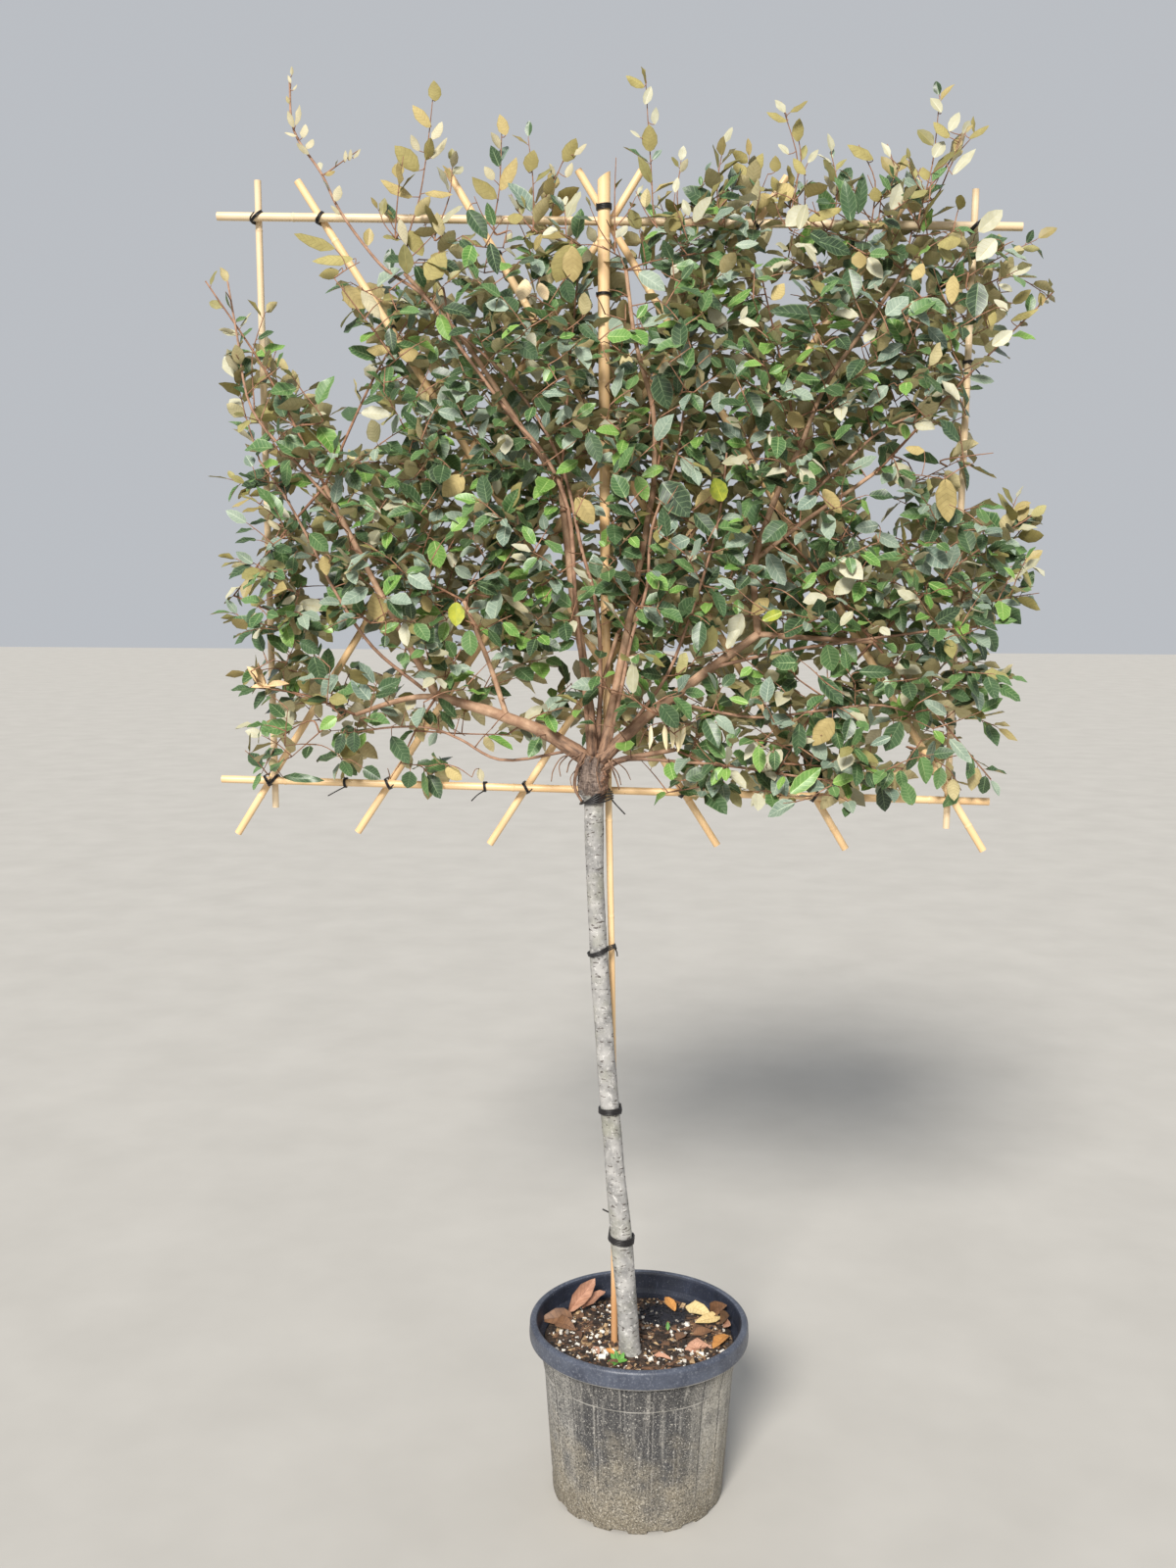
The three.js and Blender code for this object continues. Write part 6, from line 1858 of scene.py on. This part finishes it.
    def kind_of(self, young, tone):
        """Which kind of leaf is dealt: the spray's tone and the leaf's own draw choose it."""
        draw = next(self.chance)
        if next(self.chance) < young * YOUNG_KIND_SHARE:
            shares = YOUNG_SHARES
        else:
            shares = MATURE_SHARES
            draw = min(0.999, max(0.0, draw + (tone - 0.5) * TONE_WEIGHT))
        for kind, share in shares.items():
            if draw < share:
                return kind
            draw -= share
        return kind

    def place_leaves(self):
        """The leaves that stand out, each on a stalk from the nearest wood."""
        self.begin(PLACED_SEED)
        wood = np.vstack([path for path, _, _ in self.twigs] + [self.limb_wood])
        spots = seen(wood)
        for (kind, side), leaves in PLACED_LEAVES.items():
            for x0, z0, x1, z1, width in leaves:
                cost = np.linalg.norm(spots - (x0, z0), axis=1) + 0.3 * np.maximum(0, wood[:, 1] + 90)
                self.place_leaf(kind, side, (x0, z0), (x1, z1), width, wood[cost.argmin()])

    def place_leaf(self, kind, side, foot, end, width, root):
        """A leaf that shows one side, from foot to end as they appear on the crown's face."""
        young = youth(on_face(foot, CROWN_FACE_Y)) > YOUNG_ENOUGH
        depth = root[1] - 8 if young else PLACED_FRONT
        tilt = self.spread(PLACED_TILT)
        for _ in range(PLACED_TRIES):
            base = on_face(foot, depth)
            length = np.linalg.norm(on_face(end, depth) - base)
            tip = on_face(end, depth + tilt * length)
            if clear_of_limbs(np.array([base, (base + tip) / 2, tip]), 3 * LEAF_CLEARANCE):
                break
            depth -= PLACED_STEP
        if self.outside(np.array([base, tip])):
            return
        direction = unit(tip - base)
        shown = 1 if side == UPPER else -1
        facing = np.array([self.spread(0.3), -shown, 0.35 * shown])
        length = np.linalg.norm(tip - base) * MM
        shape = (self.vary(*PLACED_FOLD), self.vary(*PLACED_DROOP), self.vary(*PLACED_WAVE))
        self.leaves[kind].append((base * MM, direction, facing, length, width, *shape))
        stalk = base + direction * 0.8
        bend = (root + stalk) / 2 + UP * 0.08 * np.linalg.norm(stalk - root) - direction * 3
        self.twigs.append((smooth_path([root, bend, stalk], 3), FINE_TIP_DIAMETER * 1.3, FINE_TIP_DIAMETER))

    def curl(self, kind, twig, width, fold, tips):
        """Curled dead leaves on a twig of their own. Each is a place on it and the way it points."""
        self.twigs.append((smooth_path(twig, 4), FINE_DIAMETER, FINE_TIP_DIAMETER))
        for place, direction, facing, length in tips:
            ways = (np.array(direction, float), np.array(facing, float))
            sizes = (length * MM, width, fold, CURL_DROOP, CURL_WAVE)
            self.leaves[kind].append((metres(place), *ways, *sizes))


def make_wood(name, limbs, sides, look):
    """A piece of many tapering limbs. Each is its path and the diameters of its ends, in millimetres."""
    pile = Pile()
    for path, root, tip in limbs:
        pile.add_tube(path * MM, np.linspace(root, tip, len(path)) * MM / 2, sides)
    pile.piece(name, [look], MASS_NAMES)


def make_crown():
    """The crown: its finer wood, and a piece for each kind of leaf."""
    crown = Crown()
    for index, mass in enumerate(MASSES):
        crown.grow(index, mass)
    for index, shoot in enumerate(SHOOTS):
        crown.shoot(index, *shoot)
    for index, (path, _, _) in enumerate(crown.stems):
        crown.runner_leaves(index, path)
    crown.place_leaves()
    for curl in CURLS:
        crown.curl(*curl)

    make_wood("crown_stems", crown.stems, 10, bough_look("bark_stem", (186, 148, 122), (134, 100, 80), 1.5))
    look = bough_look("bark_twig", (172, 128, 100), (116, 82, 62), 2.0)
    make_wood("crown_twigs", crown.twigs, 5, look)
    make_wood("crown_stalks", crown.petioles, 3, look)
    for seed, (kind, shades) in enumerate(LEAF_KINDS.items()):
        pile = Pile()
        add_leaves(pile, crown.leaves[kind], seed)
        looks = leaf_looks("leaf_" + kind, *shades)
        pile.piece("leaves_" + kind, looks, MASS_NAMES, crease=LEAF_CREASE)


def wrap_path(sections, normal, turns, wire, fan, seed):
    """The path of a wire wound round limbs. Each section is a limb's centre, radius and direction, in
    metres, and the loops follow the outline of them all in the plane across the normal, which turns by
    the fan from the first loop to the last."""
    chance = np.random.default_rng(seed)
    path = []
    for step in range(int(WIRE_STEPS * turns) + 1):
        turn = 2 * math.pi * step / WIRE_STEPS
        tilted = unit(normal + fan * (step / (WIRE_STEPS * turns) - 0.5) * np.array([-1.0, 0, 0]))
        across = unit(np.cross(BACK, tilted))
        facing = across * math.cos(turn) + BACK * math.sin(turn)
        best, reach = None, -math.inf
        for centre, radius, along in sections:
            depth = radius + WIRE_SLACK * MM + wire / 2
            width = depth / abs(along @ tilted)
            scale = math.hypot(width * math.cos(turn), depth * math.sin(turn))
            point = centre + across * width**2 * math.cos(turn) / scale
            point = point + BACK * depth**2 * math.sin(turn) / scale
            if point @ facing > reach:
                best, reach = point, point @ facing
        lift = (step / WIRE_STEPS - turns / 2) * wire * WIRE_PITCH + 0.0006 * math.sin(turn * 2 + seed)
        path.append(best + tilted * lift + facing * 0.0003 * chance.random())
    return np.array(path)


def tie(name, sections, normal, turns, wire, tails=(), replaces=(), fan=0.0):
    """A wire tie. Each tail is the way that a loose end takes from a point of the winding."""
    wire *= MM
    pile = Pile()
    path = wrap_path(sections, unit(np.array(normal, float)), turns, wire, fan, len(name))
    pile.add_tube(path, wire / 2, WIRE_SIDES)
    for share, *ways in tails:
        start = path[int(share * (len(path) - 1))]
        tail = smooth_path([start, *[start + metres(way) for way in ways]], 6)
        pile.add_tube(tail, wire / 2.2, WIRE_SIDES - 1)
    pile.piece(name, [WIRE_LOOK], replaces)


def stem_sections(height):
    """The trunk and the centre cane at a height."""
    trunk = np.array(TRUNK_STATIONS, float)
    x, diameter = (np.interp(height, trunk[:, 1], trunk[:, i]) for i in (0, 2))
    cane = np.array(CENTRE_CANE_STATIONS, float)
    cane_x, cane_y, cane_width = (np.interp(height, cane[:, 2], cane[:, i]) for i in (0, 1, 3))
    return [
        (metres([x, TRUNK_Y, height]), (diameter / 2 + 0.8) * MM, UP),
        (metres([cane_x, cane_y, height]), cane_width * MM / 2, UP),
    ]


def cane_line(name):
    """A cane's centre line from its higher end, and its radius. Of the centre cane only the top stretch."""
    if name == "centre":
        cane = np.array(CENTRE_CANE_STATIONS[-2:], float)
        return cane[::-1, :3] * MM, cane[:, 3].mean() * MM / 2
    return cane_rings("cane_" + name)


def crossing_sections(one, other):
    """Two canes where they cross as the camera sees them, and the way between them."""
    (a, a_radius), (b, b_radius) = cane_line(one), cane_line(other)
    a_along, b_along = unit(a[-1] - a[0]), unit(b[-1] - b[0])
    offset = b[0] - a[0]
    cross = a_along[0] * b_along[2] - a_along[2] * b_along[0]
    a_run = (offset[0] * b_along[2] - offset[2] * b_along[0]) / cross
    b_run = (offset[0] * a_along[2] - offset[2] * a_along[0]) / cross
    sections = []
    for line, radius, along, run in ((a, a_radius, a_along, a_run), (b, b_radius, b_along, b_run)):
        place = line[0] + along * run
        place[1] = np.interp(run, np.linalg.norm(line - line[0], axis=1), line[:, 1])
        sections.append((place, radius, along))
    return sections, a_along + b_along * np.sign(a_along @ b_along)


def ring_sections(name, share):
    """One cane at a share of its length."""
    line, radius = cane_line(name)
    along = unit(line[-1] - line[0])
    return [(line[0] + (line[-1] - line[0]) * share, radius, along)], along


def make_ties():
    """The wires round the trunk and the centre cane, at the canes' crossings and round single canes."""
    for name, height, normal, turns, wire, fan, tails in STEM_TIES:
        tie("wire_" + name, stem_sections(height), normal, turns, wire, tails, ["tie_" + name], fan)
    for name, one, other, carried in CANE_TIES:
        sections, normal = crossing_sections(one, other)
        replaces = ["tie_" + name] if carried else ()
        tie("wire_" + name, sections, normal, CANE_TIE_TURNS, CANE_TIE_WIRE, [CANE_TAIL], replaces)
    for name, cane, share, turns, tail in RING_TIES:
        sections, normal = ring_sections(cane, share)
        tie("wire_" + name, sections, normal, turns, RING_WIRE, [tail])


def make_stage():
    """A plain pale floor, soft daylight and the camera."""
    mesh = bpy.data.meshes.new("floor")
    corners = [(x * FLOOR_HALF, y * FLOOR_HALF, 0) for x, y in ((-1, -1), (1, -1), (1, 1), (-1, 1))]
    mesh.from_pydata(corners, [], [(0, 1, 2, 3)])
    floor = bpy.data.objects.new("floor", mesh)
    bpy.context.scene.collection.objects.link(floor)
    look = Look("floor_pale", (182, 179, 173), 0.9)
    patches = look.noise(3.0, look.place(), 3.0)
    floor.data.materials.append(look.paint(look.cover((180, 177, 171), (187, 184, 178), patches, 0.3, 0.7)))

    world = bpy.data.worlds.new("sky")
    bpy.context.scene.world = world
    world.use_nodes = True
    background = world.node_tree.nodes["Background"]
    background.inputs["Color"].default_value = hue(*SKY_COLOUR)
    background.inputs["Strength"].default_value = SKY_STRENGTH

    sun = bpy.data.objects.new("sun", bpy.data.lights.new("sun", "SUN"))
    sun.data.energy = SUN_STRENGTH
    sun.data.angle = SUN_SIZE
    sun.data.color = SUN_COLOUR
    sun.rotation_euler = Vector(SUN_PLACE).to_track_quat("Z", "Y").to_euler()
    bpy.context.scene.collection.objects.link(sun)

    camera = bpy.data.objects.new("camera", bpy.data.cameras.new("camera"))
    camera.data.sensor_width = SENSOR
    camera.data.lens = FOCAL_LENGTH
    flat = math.cos(CAMERA_DOWN)
    forward = Vector((-math.sin(CAMERA_LEFT) * flat, math.cos(CAMERA_LEFT) * flat, -math.sin(CAMERA_DOWN)))
    right = Vector((math.cos(CAMERA_LEFT), math.sin(CAMERA_LEFT), 0))
    up = right.cross(forward)
    rolled_right = right * math.cos(CAMERA_ROLL) + up * math.sin(CAMERA_ROLL)
    rolled_up = up * math.cos(CAMERA_ROLL) - right * math.sin(CAMERA_ROLL)
    turn = Matrix((rolled_right, rolled_up, -forward)).transposed().to_4x4()
    camera.matrix_world = Matrix.Translation(CAMERA_PLACE) @ turn
    bpy.context.scene.collection.objects.link(camera)
    bpy.context.scene.camera = camera
    bpy.context.scene.view_settings.view_transform = "Standard"


WIRE_LOOK = wire_look()

make_stage()
make_pot()
make_soil()
make_chips()
make_litter()
make_trunk()
make_boughs()
make_canes()
make_ties()
make_crown()
